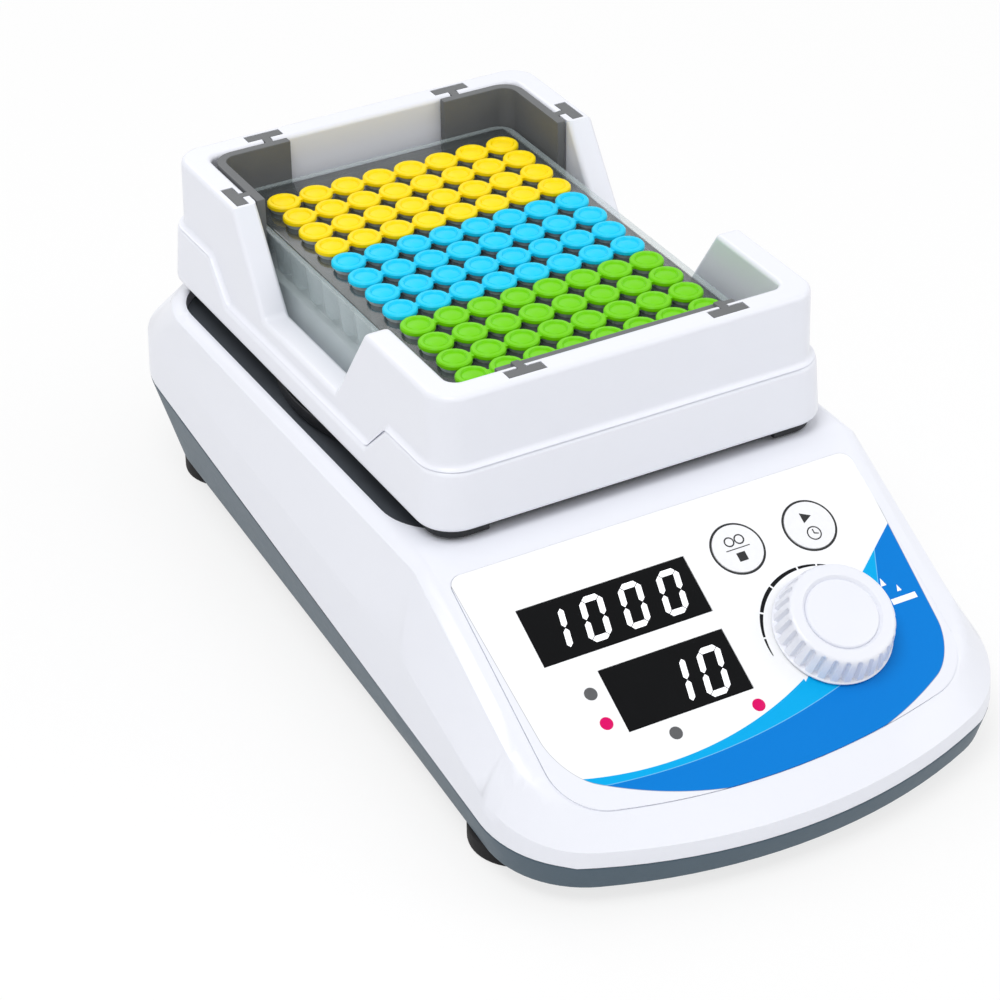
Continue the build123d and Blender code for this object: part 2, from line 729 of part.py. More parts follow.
def eccentric():
    shape = prism(ECCENTRIC_RADIUS, ECCENTRIC_LOW, ECCENTRIC_TOP, sides=8)
    shape = shape - rod(SHAFT_RADIUS, ECCENTRIC_LOW - OVERCUT, SHAFT_TOP)
    return shape + rod(PIN_RADIUS, ECCENTRIC_TOP, PIN_TOP, 0, ORBIT)


def counterweight():
    top = ECCENTRIC_TOP - OVERCUT
    disc = rod(WEIGHT_RADIUS, ECCENTRIC_LOW, top)
    reach = WEIGHT_RADIUS + OVERCUT
    shape = disc & box((-reach, reach), (-reach, -WEIGHT_EDGE), (ECCENTRIC_LOW, top))
    return shape - prism(ECCENTRIC_RADIUS, ECCENTRIC_LOW - OVERCUT, ECCENTRIC_TOP + OVERCUT, sides=8)


def idler_bearing(x):
    ring = prism(IDLER_BOSS, PLATE_TOP, IDLER_BEARING_TOP, x, IDLER_Y, 8)
    return ring - rod(IDLER_FOOT + RUNNING_FIT, PLATE_TOP + IDLER_FLOOR, IDLER_BEARING_TOP + OVERCUT, x, IDLER_Y)


def idler(x):
    arm_low = IDLER_BEARING_TOP + ARM_GAP
    arm_top = HUB_BOTTOM - SEAT
    foot = rod(IDLER_FOOT, PLATE_TOP + IDLER_FLOOR + SEAT, arm_low, x, IDLER_Y)
    arm = prism(ARM_RADIUS, arm_low, arm_top, x, IDLER_Y + ORBIT / 2, 8)
    return foot + arm + rod(IDLER_PIN, arm_top, PIN_TOP, x, IDLER_Y + ORBIT)


def screw_holes(shape):
    for x, y in four(TRAY_SCREWS):
        shape = shape - prism(SCREW_RADIUS + SCREW_PLAY, SCREW_DEEP - SEAT, TRAY_BOTTOM + OVERCUT, x, TRAY_Y + y)
    return shape


def drive_disc():
    shape = rod(DISC_RADIUS, DISC_BOTTOM, DISC_TOP, 0, TRAY_Y)
    shape = shape + prism(HUB_RADIUS, HUB_BOTTOM, DISC_BOTTOM, 0, TRAY_Y, 12)
    bearing_top = HUB_BOTTOM + SEAT + BEARING_HEIGHT
    shape = shape - rod(BEARING_RADIUS, HUB_BOTTOM - OVERCUT, bearing_top, 0, TRAY_Y)
    shape = shape - rod(PIN_RADIUS + PIVOT_PLAY, DISC_BOTTOM, PIN_TOP + SEAT, 0, TRAY_Y)
    for side in (1, -1):
        x = side * IDLER_X
        y = IDLER_Y + ORBIT
        shape = shape + prism(IDLER_BOSS, HUB_BOTTOM + ARM_GAP, DISC_BOTTOM, x, y, 8)
        shape = shape - rod(IDLER_PIN + PIVOT_PLAY, HUB_BOTTOM, PIN_TOP + SEAT, x, y)
    return screw_holes(shape)


def pin_bearing():
    low = HUB_BOTTOM + SEAT
    ring = rod(BEARING_RADIUS, low, low + BEARING_HEIGHT, 0, TRAY_Y)
    return ring - rod(PIN_RADIUS + RUNNING_FIT, low - OVERCUT, low + BEARING_HEIGHT + OVERCUT, 0, TRAY_Y)


def carrier_plate():
    shape = slab(CARRIER_X, CARRIER_Y, CARRIER_CORNER, DISC_TOP, TRAY_BOTTOM, 0, TRAY_Y)
    # Four pads under the corners stiffen the sheet.
    pads = slab(CARRIER_X, CARRIER_Y, CARRIER_CORNER, DISC_TOP - PAD_DEPTH, DISC_TOP, 0, TRAY_Y)
    across = CARRIER_X - PAD_SIZE[0]
    along = CARRIER_Y - PAD_SIZE[1]
    limits = (DISC_TOP - PAD_DEPTH, DISC_TOP)
    pads = pads - box((-across, across), (TRAY_Y - CARRIER_Y, TRAY_Y + CARRIER_Y), limits)
    pads = pads - box((-CARRIER_X, CARRIER_X), (TRAY_Y - along, TRAY_Y + along), limits)
    return screw_holes(shape + pads)


def notch(low, high, half_low, lean):
    # Wedge cut through both side walls, wider at the top.
    half_high = half_low + lean * (high - low)
    with BuildSketch(Plane.YZ) as sketch:
        with BuildLine():
            points = [(-half_low, low), (half_low, low), (half_high, high), (-half_high, high)]
            Polyline(*[(TRAY_Y + y, z) for y, z in points], close=True)
        make_face()
    return extrude(sketch.sketch, 2 * LOWER_X, both=True)


def tray():
    lower = slab(LOWER_X, LOWER_Y, LOWER_CORNER, TRAY_BOTTOM, LEDGE, LOWER_DRAFT, TRAY_Y)
    lower = lower - notch(SIDE_LEDGE, LEDGE + OVERCUT, SIDE_LEDGE_HALF, 1)
    upper = slab(RIM_X, RIM_Y, RIM_CORNER, TRAY_BOTTOM, TRAY_TOP, RIM_DRAFT, TRAY_Y)
    upper = upper - notch(NOTCH_FLOOR, TRAY_TOP + OVERCUT, NOTCH_HALF, NOTCH_LEAN)
    shape = lower + upper
    shape = shape - slab(POCKET_X, POCKET_Y, POCKET_CORNER, TRAY_INSIDE, TRAY_TOP + OVERCUT, 0, TRAY_Y)
    for place in head_places():
        shape = shape - head(place, HEAD_GAP)
    for x, y in four(TRAY_SCREWS):
        shape = shape - prism(SCREW_RADIUS + SCREW_PLAY, TRAY_BOTTOM - OVERCUT, TRAY_INSIDE, x, TRAY_Y + y)
        well = TRAY_INSIDE - SCREW_HEAD_HEIGHT
        shape = shape - prism(SCREW_HEAD + SCREW_PLAY, well, TRAY_INSIDE + OVERCUT, x, TRAY_Y + y)
    return shape


def head_places():
    # Place and turn of each T-shaped head; unturned, its neck points to the front.
    along = POCKET_Y + HEAD_OUT
    across = POCKET_X + HEAD_OUT
    ends = [(sign * HEAD_X, TRAY_Y + along, 0) for sign in (1, -1)]
    ends += [(sign * HEAD_X, TRAY_Y - along, 180) for sign in (1, -1)]
    return ends + [(sign * across, TRAY_Y + HEAD_Y, -90 * sign) for sign in (1, -1)]


def head(place, gap):
    # The slot for a head is open at the top, so it runs past the rim there.
    x, y, turn = place
    reach = HEAD_OUT + GUIDE_OFF + GUIDE_SHEET / 2
    low = TRAY_TOP - HEAD_HEIGHT - gap
    high = TRAY_TOP + (OVERCUT if gap else 0)
    outline = Rectangle(HEAD_BAR + 2 * gap, HEAD_DEPTH + 2 * gap)
    outline = outline + Pos(0, -reach / 2) * Rectangle(HEAD_NECK + 2 * gap, reach)
    return Pos(x, y, low) * Rot(0, 0, turn) * extrude(outline, high - low)


def corner_guide(side):
    # Angle piece in a back corner of the pocket: one arm on each wall, held by a head on each.
    outer_x = POCKET_X - GUIDE_OFF
    outer_y = POCKET_Y - GUIDE_OFF
    inner_corner = GUIDE_CORNER - GUIDE_SHEET
    ring = slab(outer_x, outer_y, GUIDE_CORNER, GUIDE_LOW, TRAY_TOP, 0, TRAY_Y)
    hole = slab(
        outer_x - GUIDE_SHEET, outer_y - GUIDE_SHEET, inner_corner, GUIDE_LOW - OVERCUT, TRAY_TOP + OVERCUT, 0, TRAY_Y
    )
    x = sorted((side * (HEAD_X - HEAD_BAR / 2), side * (outer_x + OVERCUT)))
    y = (TRAY_Y + HEAD_Y - HEAD_BAR / 2, TRAY_Y + outer_y + OVERCUT)
    shape = (ring - hole) & box(x, y, (GUIDE_LOW, TRAY_TOP))
    for place in head_places():
        if place[0] * side > 0 and place[1] > TRAY_Y:
            shape = shape + head(place, 0)
    return shape


def front_guide():
    half = HEAD_X + HEAD_BAR / 2
    y = TRAY_Y - POCKET_Y + GUIDE_OFF
    limits = (GUIDE_LOW + FRONT_GUIDE_LIFT, TRAY_TOP - FRONT_GUIDE_DROP)
    shape = box((-half, half), (y, y + FRONT_GUIDE_SHEET), limits)
    for place in head_places():
        if place[1] < TRAY_Y:
            shape = shape + head(place, 0)
    return shape


def rack():
    half_x = PLATE_WIDTH / 2
    half_y = PLATE_LENGTH / 2
    inner_x = RACK_X - RACK_WALL
    inner_y = RACK_Y - RACK_WALL
    shape = slab(half_x, half_y, SKIRT_CORNER, TRAY_INSIDE, RACK_LEDGE, 0, TRAY_Y)
    shape = shape + slab(RACK_X, RACK_Y, RACK_CORNER, RACK_LEDGE, RACK_TOP, 0, TRAY_Y)
    lower = box(
        (RACK_WALL - half_x, half_x - RACK_WALL),
        (TRAY_Y + RACK_WALL - half_y, TRAY_Y + half_y - RACK_WALL),
        (TRAY_INSIDE - OVERCUT, RACK_LEDGE - RACK_WALL),
    )
    upper = slab(inner_x, inner_y, RACK_CORNER - RACK_WALL, RACK_TOP - SHELF, RACK_TOP + OVERCUT, 0, TRAY_Y)
    throat = box(
        (SHELF - inner_x, inner_x - SHELF), (TRAY_Y + SHELF - inner_y, TRAY_Y + inner_y - SHELF), (TRAY_INSIDE, RACK_TOP)
    )
    return shape - lower - upper - throat


def grid(rows):
    x = [(i - (COLUMNS - 1) / 2) * PITCH for i in range(COLUMNS)]
    y = [GRID_Y + (j - (ROWS - 1) / 2) * PITCH for j in rows]
    return [(a, b) for b in y for a in x]


def tube_block():
    inner_x = RACK_X - RACK_WALL - DECK_PLAY
    inner_y = RACK_Y - RACK_WALL - DECK_PLAY
    under = RACK_TOP - SHELF
    deck = slab(inner_x, inner_y, RACK_CORNER - RACK_WALL, under, RACK_TOP, 0, TRAY_Y)
    tubes = [prism(TUBE_RADIUS, under - TUBE_LENGTH, under, x, y) for x, y in grid(range(ROWS))]
    return deck.fuse(*tubes)


def cap_strips(first_row):
    # One strip per row: eight-sided caps on a thin link that ends in a nub.
    half = (COLUMNS - 1) / 2 * PITCH
    strips = []
    for row in range(first_row, first_row + ROWS_PER_COLOUR):
        places = grid([row])
        y = places[0][1]
        caps = [prism(CAP_RADIUS, CAP_BOTTOM, CAP_BOTTOM + CAP_HEIGHT, x, y, 8) for x, y in places]
        across = (-half, half + CAP_RADIUS + LINK_NUB)
        link = box(across, (y - LINK_WIDTH / 2, y + LINK_WIDTH / 2), (CAP_BOTTOM, CAP_BOTTOM + LINK_SHEET))
        strips.append(link.fuse(*caps))
    return Compound(strips)


def power_jack():
    shape = bay_block(JACK_X, JACK_SIDE, JACK_SIDE, -SOCKET_DEPTH, 0)
    shape = shape + bay_block(JACK_X, JACK_FLANGE, JACK_FLANGE, 0, FLANGE_SHEET)
    shape = shape - bay_rod(JACK_X, JACK_HOLE, FLANGE_SHEET - SOCKET_DEPTH / 2, FLANGE_SHEET + OVERCUT)
    return shape + bay_rod(JACK_X, JACK_PIN, FLANGE_SHEET - SOCKET_DEPTH / 2, 0)


def switch_frame():
    outer = bay_block(ROCKER_X, ROCKER_WIDE + 2 * FRAME_WALL, ROCKER_TALL + 2 * FRAME_WALL, -SOCKET_DEPTH, 0)
    flange = bay_block(ROCKER_X, ROCKER_WIDE + 4 * FRAME_WALL, ROCKER_TALL + 4 * FRAME_WALL, 0, FLANGE_SHEET)
    opening = bay_block(ROCKER_X, ROCKER_WIDE, ROCKER_TALL, FRAME_WALL - SOCKET_DEPTH, FLANGE_SHEET + OVERCUT)
    return outer + flange - opening - rocker_pin(ROCKER_PIN + RUNNING_FIT, FRAME_WALL)


def rocker_pin(radius, stub):
    pin = Rot(0, 90, 0) * Cylinder(radius, ROCKER_WIDE + 2 * stub)
    return Pos(ROCKER_X, BAY_WALL - ROCKER_PIVOT_DEPTH, BAY_MIDDLE) * pin


def rocker():
    # Blunt wedge with a hollow face that tips about its own pin.
    high = ROCKER_TALL / 2 - 2 * ROCKER_GAP
    low = high - FRAME_WALL
    nose = ROCKER_PIVOT_DEPTH + 2 * FRAME_WALL
    with BuildSketch(Plane.YZ) as sketch:
        with BuildLine():
            Polyline((-nose, -low), (nose, -high), (nose - 1, 0), (nose, high), (-nose, low), close=True)
        make_face()
    wedge = extrude(sketch.sketch, ROCKER_WIDE / 2 - ROCKER_GAP, both=True)
    place = Pos(ROCKER_X, BAY_WALL - ROCKER_PIVOT_DEPTH, BAY_MIDDLE)
    return place * Rot(-ROCKER_TIP, 0, 0) * wedge + rocker_pin(ROCKER_PIN, FRAME_WALL - SEAT)


def build_base():
    save(housing(), "housing")
    save(pan(), "base_pan")
    save(feet(), "feet")
    save(housing_screws(), "housing_screws")
    save(panel_label(), "panel_label")
    save(window_pane(SPEED_WINDOW), "speed_window")
    save(window_pane(TIME_WINDOW), "time_window")
    save(digit_module(SPEED_WINDOW), "speed_digits")
    save(digit_module(TIME_WINDOW), "time_digits")
    save(indicator_lamps(), "indicator_lamps")
    save(control_board(), "control_board")
    save(board_posts(), "board_posts")
    save(key_switches(), "key_switches")
    save(dial_sensor(), "dial_sensor")
    save(motor(), "motor")
    save(motor_plate(), "motor_plate")
    save(grommets(), "grommets")
    save(plate_screws(), "plate_screws")
    save(idler_bearing(-IDLER_X), "idler_bearing_left")
    save(idler_bearing(IDLER_X), "idler_bearing_right")
    save(power_jack(), "power_jack")
    save(switch_frame(), "switch_frame")


def build_moving():
    save(drive_shaft(), "drive_shaft")
    save(eccentric(), "eccentric")
    save(counterweight(), "counterweight")
    save(idler(-IDLER_X), "idler_left")
    save(idler(IDLER_X), "idler_right")
    save(knob(), "knob")
    save(knob_cap(), "knob_cap")
    save(knob_shaft(), "knob_shaft")
    for name, place in KEYS.items():
        save(key(place), name)
    save(rocker(), "power_rocker")


def build_platform():
    save(drive_disc(), "drive_disc")
    save(pin_bearing(), "pin_bearing")
    save(carrier_plate(), "carrier_plate")
    save(tray(), "tray")
    save(tray_screws(), "tray_screws")
    save(corner_guide(-1), "corner_guide_left")
    save(corner_guide(1), "corner_guide_right")
    save(front_guide(), "front_guide")
    save(rack(), "rack")
    save(tube_block(), "tube_block")
    for index, colour in enumerate(("green", "cyan", "yellow")):
        save(cap_strips(index * ROWS_PER_COLOUR), "caps_" + colour)


build_base()
build_moving()
build_platform()
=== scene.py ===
import json
from math import atan2, cos, degrees, pi, radians, sin

import bmesh
import bpy
from mathutils import Matrix, Vector

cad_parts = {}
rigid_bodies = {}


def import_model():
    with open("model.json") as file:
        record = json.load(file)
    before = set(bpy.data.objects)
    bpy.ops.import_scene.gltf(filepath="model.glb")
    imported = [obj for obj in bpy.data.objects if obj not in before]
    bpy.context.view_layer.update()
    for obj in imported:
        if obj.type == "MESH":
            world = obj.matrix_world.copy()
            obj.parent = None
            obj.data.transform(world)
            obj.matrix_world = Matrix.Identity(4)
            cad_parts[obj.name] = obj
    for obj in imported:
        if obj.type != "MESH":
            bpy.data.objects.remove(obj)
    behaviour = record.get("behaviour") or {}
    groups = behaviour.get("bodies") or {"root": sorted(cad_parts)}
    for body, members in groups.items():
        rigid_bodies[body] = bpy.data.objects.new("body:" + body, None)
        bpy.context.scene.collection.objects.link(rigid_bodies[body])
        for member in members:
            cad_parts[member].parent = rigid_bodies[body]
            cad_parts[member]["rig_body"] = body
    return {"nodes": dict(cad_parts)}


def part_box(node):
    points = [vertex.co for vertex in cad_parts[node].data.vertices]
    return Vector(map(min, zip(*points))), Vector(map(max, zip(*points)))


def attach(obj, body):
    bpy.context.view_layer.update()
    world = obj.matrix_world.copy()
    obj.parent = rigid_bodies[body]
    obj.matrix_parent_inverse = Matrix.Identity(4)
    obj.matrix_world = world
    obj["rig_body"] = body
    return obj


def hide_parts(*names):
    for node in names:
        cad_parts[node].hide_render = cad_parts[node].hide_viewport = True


bl_info = {
    "name": "Microplate shaker",
    "version": (1, 0, 0),
    "blender": (4, 5, 0),
    "location": "View3D > Sidebar > Shaker",
    "description": "Dresses the packed model of a microplate shaker with finished pieces",
    "category": "Object",
}

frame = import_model()

# Pieces are drawn in millimetres, and their places turn them into metres.
MM = 0.001

# Plane of the sloping panel: points on it are given across, and down from its top edge.
PANEL_SLOPE = radians(29.5)
PANEL_ORIGIN = (0.0, -45.45, 57.0)
PANEL = (
    Matrix.Scale(MM, 4) @ Matrix.Translation(PANEL_ORIGIN) @ Matrix.Rotation(PANEL_SLOPE, 4, "X")
)
LABEL_FACE = 0.2
INK = 0.03

KEYS = {"key_mode": (15.1, 21.5), "key_start": (35.0, 21.6)}
KEY_PROUD = 0.5
KNOB_AT = (26.6, 47.7)
LIT_LAMPS = ((-35.6, 51.3), (0.4, 59.1))
DARK_LAMPS = ((-35.7, 43.5), (-21.4, 58.8))

# Grid of tubes and caps on the tray.
PITCH = 9.0
COLUMNS = 8
ROWS_PER_COLOUR = 4
COLOURS = ("green", "cyan", "yellow")
GRID_MIDDLE = 26.75


def at(x, y, z):
    return Matrix.Scale(MM, 4) @ Matrix.Translation((x, y, z))


def on_panel(place):
    across, down = place
    return PANEL @ Matrix.Translation((across, -down, 0.0))


def paint(code):
    """Linear colour of a six-digit display code."""
    parts = [int(code[i : i + 2], 16) / 255 for i in (0, 2, 4)]
    return tuple(p / 12.92 if p <= 0.04045 else ((p + 0.055) / 1.055) ** 2.4 for p in parts)


def rgba(colour):
    return (*colour, 1.0)


# Settings that a user would change.
class ShellSettings(bpy.types.PropertyGroup):
    """Moulded shells and the tray."""

    white: bpy.props.FloatVectorProperty(
        name="White plastic",
        description="Colour of the housing and the tray",
        subtype="COLOR",
        default=paint("e9ebf3"),
    )
    slate: bpy.props.FloatVectorProperty(
        name="Slate plastic",
        description="Colour of the base pan",
        subtype="COLOR",
        default=paint("4a5c69"),
    )
    insert: bpy.props.FloatVectorProperty(
        name="Guides",
        description="Colour of the guides in the tray",
        subtype="COLOR",
        default=paint("6c6e70"),
    )
    tray_edge: bpy.props.FloatProperty(
        name="Tray edge",
        description="Radius of the tray's rounded edges",
        unit="LENGTH",
        default=1.3 * MM,
        min=0.2 * MM,
        max=2.0 * MM,
    )


class PanelSettings(bpy.types.PropertyGroup):
    """Label, displays and lamps."""

    light_blue: bpy.props.FloatVectorProperty(
        name="Light sweep",
        description="Colour of the narrow band on the label",
        subtype="COLOR",
        default=paint("00a9e8"),
    )
    dark_blue: bpy.props.FloatVectorProperty(
        name="Dark sweep",
        description="Colour of the wide band on the label",
        subtype="COLOR",
        default=paint("007bd3"),
    )
    lamp: bpy.props.FloatVectorProperty(
        name="Lit lamp",
        description="Colour of the two lit lamps",
        subtype="COLOR",
        default=paint("dd0066"),
    )
    digit_stroke: bpy.props.FloatProperty(
        name="Digit stroke",
        description="Width of a lit bar",
        unit="LENGTH",
        default=1.5 * MM,
        min=0.5 * MM,
        max=2.0 * MM,
    )


class KnobSettings(bpy.types.PropertyGroup):
    """Speed knob."""

    ribs: bpy.props.IntProperty(
        name="Ribs",
        description="Number of ribs round the grip",
        default=28,
        min=12,
        max=60,
    )
    groove: bpy.props.FloatProperty(
        name="Groove",
        description="Depth of the grooves between the ribs",
        unit="LENGTH",
        default=1.1 * MM,
        min=0.2 * MM,
        max=2.0 * MM,
    )


class CapSettings(bpy.types.PropertyGroup):
    """Caps of the small tubes."""

    green: bpy.props.FloatVectorProperty(
        name="Front caps",
        description="Colour of the front rows",
        subtype="COLOR",
        default=paint("76d400"),
    )
    cyan: bpy.props.FloatVectorProperty(
        name="Middle caps",
        description="Colour of the middle rows",
        subtype="COLOR",
        default=paint("14d0f6"),
    )
    yellow: bpy.props.FloatVectorProperty(
        name="Back caps",
        description="Colour of the back rows",
        subtype="COLOR",
        default=paint("ffe000"),
    )
    steps: bpy.props.IntProperty(
        name="Steps",
        description="Straight sides round each cap",
        default=20,
        min=8,
        max=32,
    )


# Shader maths.
class Flow:
    """One socket of a material. Arithmetic on it adds Math nodes."""

    def __init__(self, tree, socket=None):
        self.tree = tree
        self.socket = socket

    def add(self, kind, settings=None, inputs=None, output=0):
        """Adds a node of any type: first its settings, then the values or links of its sockets."""
        made = self.tree.nodes.new(kind)
        for name, value in (settings or {}).items():
            setattr(made, name, value)
        for name, value in (inputs or {}).items():
            if isinstance(value, Flow):
                self.tree.links.new(value.socket, made.inputs[name])
            else:
                made.inputs[name].default_value = value
        return Flow(self.tree, made.outputs[output])

    def maths(self, operation, *values, clamp=False):
        settings = {"operation": operation, "use_clamp": clamp}
        return self.add("ShaderNodeMath", settings, dict(enumerate(values)))

    def __add__(self, other):
        return self.maths("ADD", self, other)

    def __radd__(self, other):
        return self.maths("ADD", other, self)

    def __sub__(self, other):
        return self.maths("SUBTRACT", self, other)

    def __rsub__(self, other):
        return self.maths("SUBTRACT", other, self)

    def __mul__(self, other):
        return self.maths("MULTIPLY", self, other)

    def __rmul__(self, other):
        return self.maths("MULTIPLY", other, self)

    def __truediv__(self, other):
        return self.maths("DIVIDE", self, other)

    def __abs__(self):
        return self.maths("ABSOLUTE", self)


def larger(first, second):
    return first.maths("MAXIMUM", first, second)


def smaller(first, second):
    return first.maths("MINIMUM", first, second)


def inside(distance, softness=0.06):
    """1 where a signed distance in millimetres is below nought, and 0 outside, with a soft edge."""
    return distance.maths("SUBTRACT", 0.5, distance / softness, clamp=True)


def reach(across, along):
    return across.maths("SQRT", across * across + along * along)


# Sockets of a Mix node that mixes colours.
MIX_FACTOR = 0
MIX_FIRST = 6
MIX_SECOND = 7
MIX_RESULT = 2


def blend(factor, first, second):
    """Colour between two colours."""
    inputs = {MIX_FACTOR: factor, MIX_FIRST: first, MIX_SECOND: second}
    return factor.add("ShaderNodeMix", {"data_type": "RGBA"}, inputs, MIX_RESULT)


class Finish:
    """One material: its shader, its object coordinates and the sockets set on it."""

    def __init__(self, name, **sockets):
        self.material = bpy.data.materials.new(name)
        self.material.use_nodes = True
        self.tree = self.material.node_tree
        self.shader = self.tree.nodes["Principled BSDF"]
        self.flow = Flow(self.tree)
        self.place = self.flow.add("ShaderNodeTexCoord", output="Object")
        for socket, value in sockets.items():
            self.set(socket.replace("_", " "), value)

    def set(self, socket, value):
        if isinstance(value, Flow):
            self.tree.links.new(value.socket, self.shader.inputs[socket])
        else:
            self.shader.inputs[socket].default_value = value

    def noise(self, size, detail=2.0, place=None):
        """Noise between 0 and 1 whose grains are about the given size in millimetres."""
        inputs = {"Vector": place or self.place, "Scale": 1 / (size * MM), "Detail": detail}
        return self.flow.add("ShaderNodeTexNoise", None, inputs)

    def bump(self, height, depth):
        """Relief whose full height is the given depth in millimetres."""
        inputs = {"Height": height, "Distance": depth * MM, "Strength": 1.0}
        self.set("Normal", self.flow.add("ShaderNodeBump", None, inputs))

    def drift(self, colour, change, size):
        """Colour that darkens by a share in patches of the given size."""
        darker = rgba([c * (1 - change) for c in colour])
        return blend(self.noise(size), darker, rgba(colour))

    def shade(self, colour, change, size):
        self.set("Base Color", self.drift(colour, change, size))

    def polish(self, low, high, size):
        self.set("Roughness", self.noise(size, detail=4.0) * (high - low) + low)


# Plain plastics, rubber and metal.
def moulded_white(name, colour, rough):
    made = Finish(name, Coat_Weight=0.15, Coat_Roughness=0.12, Specular_IOR_Level=0.45)
    made.shade(colour, change=0.012, size=14.0)
    made.polish(rough - 0.04, rough + 0.05, size=3.0)
    made.bump(made.noise(0.9, detail=3.0), depth=0.006)
    return made.material


def slate_plastic(colour):
    made = Finish("slate_plastic", Specular_IOR_Level=0.4)
    made.shade(colour, change=0.08, size=8.0)
    made.polish(0.42, 0.55, size=2.0)
    made.bump(made.noise(0.45), depth=0.02)
    return made.material


def guide_plastic(colour):
    made = Finish("guide_plastic", Specular_IOR_Level=0.35)
    made.shade(colour, change=0.12, size=6.0)
    made.polish(0.5, 0.66, size=1.5)
    made.bump(made.noise(0.3, detail=3.0), depth=0.015)
    return made.material


def plain_plastic(name, code, rough):
    made = Finish(name, Specular_IOR_Level=0.4)
    made.shade(paint(code), change=0.2, size=4.0)
    made.polish(rough - 0.06, rough + 0.08, size=1.2)
    made.bump(made.noise(0.4, detail=3.0), depth=0.015)
    return made.material


def clear_plastic(name, code, low, high, rough):
    """Clear plastic that is thin to look through and denser where it is seen edge on."""
    made = Finish(name, Roughness=rough, Specular_IOR_Level=0.6, Coat_Weight=0.3)
    made.shade(paint(code), change=0.05, size=10.0)
    edge = made.flow.add("ShaderNodeLayerWeight", None, {"Blend": 0.35}, "Facing")
    made.set("Alpha", edge * (high - low) + low)
    made.bump(made.noise(6.0), depth=0.02)
    return made.material


def cap_plastic(name, colour):
    made = Finish(name, Specular_IOR_Level=0.18)
    made.shade(colour, change=0.06, size=2.5)
    made.polish(0.28, 0.38, size=1.2)
    made.bump(made.noise(0.7), depth=0.008)
    return made.material


def foot_rubber():
    made = Finish("foot_rubber", Specular_IOR_Level=0.3)
    made.shade(paint("1b1b1d"), change=0.25, size=3.0)
    made.polish(0.65, 0.85, size=1.0)
    made.bump(made.noise(0.35, detail=3.0), depth=0.03)
    return made.material


def metal(name, code, rough):
    """Metal with fine lines drawn along the X axis."""
    made = Finish(name, Metallic=1.0)
    stretched = {"Vector": made.place, "Scale": (1.0, 40.0, 40.0)}
    lines = made.flow.add("ShaderNodeMapping", None, stretched)
    grain = made.noise(20.0, detail=5.0, place=lines)
    made.shade(paint(code), change=0.1, size=9.0)
    made.set("Roughness", grain * 0.18 + rough)
    made.bump(grain, depth=0.008)
    return made.material


def circuit_board():
    """Green board with a net of copper tracks under its lacquer."""
    made = Finish("circuit_board", Coat_Weight=0.4)
    tracks = made.flow.add(
        "ShaderNodeTexVoronoi", {"distance": "MANHATTAN"}, {"Vector": made.place, "Scale": 260.0}
    )
    copper = inside(tracks - 0.22, softness=0.1)
    made.set("Base Color", blend(copper, rgba(paint("0d5b33")), rgba(paint("1d7a48"))))
    made.polish(0.3, 0.42, size=3.0)
    made.bump(copper, depth=0.03)
    return made.material


def ink(name, code):
    made = Finish(name, Specular_IOR_Level=0.4)
    made.shade(paint(code), change=0.06, size=1.0)
    made.polish(0.38, 0.5, size=1.0)
    return made.material


def window_black():
    made = Finish("window_black", Specular_IOR_Level=0.08)
    made.shade(paint("0d0e10"), change=0.3, size=10.0)
    made.polish(0.2, 0.3, size=6.0)
    return made.material


def digit_glow():
    colour = paint("fbfcff")
    made = Finish("digit_light", Roughness=0.4, Emission_Strength=0.35)
    made.set("Base Color", rgba(colour))
    made.set("Emission Color", made.drift(colour, change=0.06, size=4.0))
    return made.material


# Mesh helpers.
MERGE_WITHIN = 0.002
POLE_WITHIN = 0.0001
FLAT_WITHIN = radians(0.6)


def top_of(node):
    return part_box(node)[1].z / MM


def bottom_of(node):
    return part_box(node)[0].z / MM


def body_of(node):
    return frame["nodes"][node]["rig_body"]


def middle_of(edge):
    """Middle of an edge of a CAD node in millimetres."""
    return (edge.verts[0].co + edge.verts[1].co) / 2 / MM


def merged(node, whole):
    """Copy of a CAD node's mesh with its triangles joined, and its flat faces whole if asked."""
    bm = bmesh.new()
    bm.from_mesh(frame["nodes"][node].data)
    bmesh.ops.remove_doubles(bm, verts=bm.verts, dist=MERGE_WITHIN * MM)
    if whole:
        bmesh.ops.dissolve_limit(bm, angle_limit=FLAT_WITHIN, verts=bm.verts, edges=bm.edges)
    return bm


def turn_at(edge):
    """Angle between the two faces of an edge in degrees, or nothing for an open edge."""
    return degrees(edge.calc_face_angle(0.0)) if len(edge.link_faces) == 2 else None


def soften(bm, width, segments=2, corner=28.0, chosen=None):
    """Rounds the edges that turn by the corner angle or more."""
    edges = []
    for edge in bm.edges:
        turn = turn_at(edge)
        if turn is not None and turn >= corner and (chosen is None or chosen(edge)):
            edges.append(edge)
    bmesh.ops.bevel(
        bm,
        geom=edges,
        offset=width * MM,
        offset_type="OFFSET",
        segments=segments,
        profile=0.5,
        affect="EDGES",
        clamp_overlap=False,
        material=-1,
    )


def piece(bm, name, body, material, replaced=(), crease=32.0):
    """Makes a bmesh into a shaded object that rides on a body and stands for CAD nodes."""
    bm.normal_update()
    for face in bm.faces:
        face.smooth = True
    for edge in bm.edges:
        turn = turn_at(edge)
        edge.smooth = turn is not None and turn < crease
    mesh = bpy.data.meshes.new(name)
    bm.to_mesh(mesh)
    bm.free()
    mesh.materials.append(material)
    made = bpy.data.objects.new(name, mesh)
    bpy.context.scene.collection.objects.link(made)
    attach(made, body)
    if replaced:
        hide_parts(*replaced)
    return made


def dressed(material, *nodes):
    """Gives CAD nodes that are shown as they are a better material."""
    for node in nodes:
        shown = frame["nodes"][node]
        shown.data.materials.clear()
        shown.data.materials.append(material)


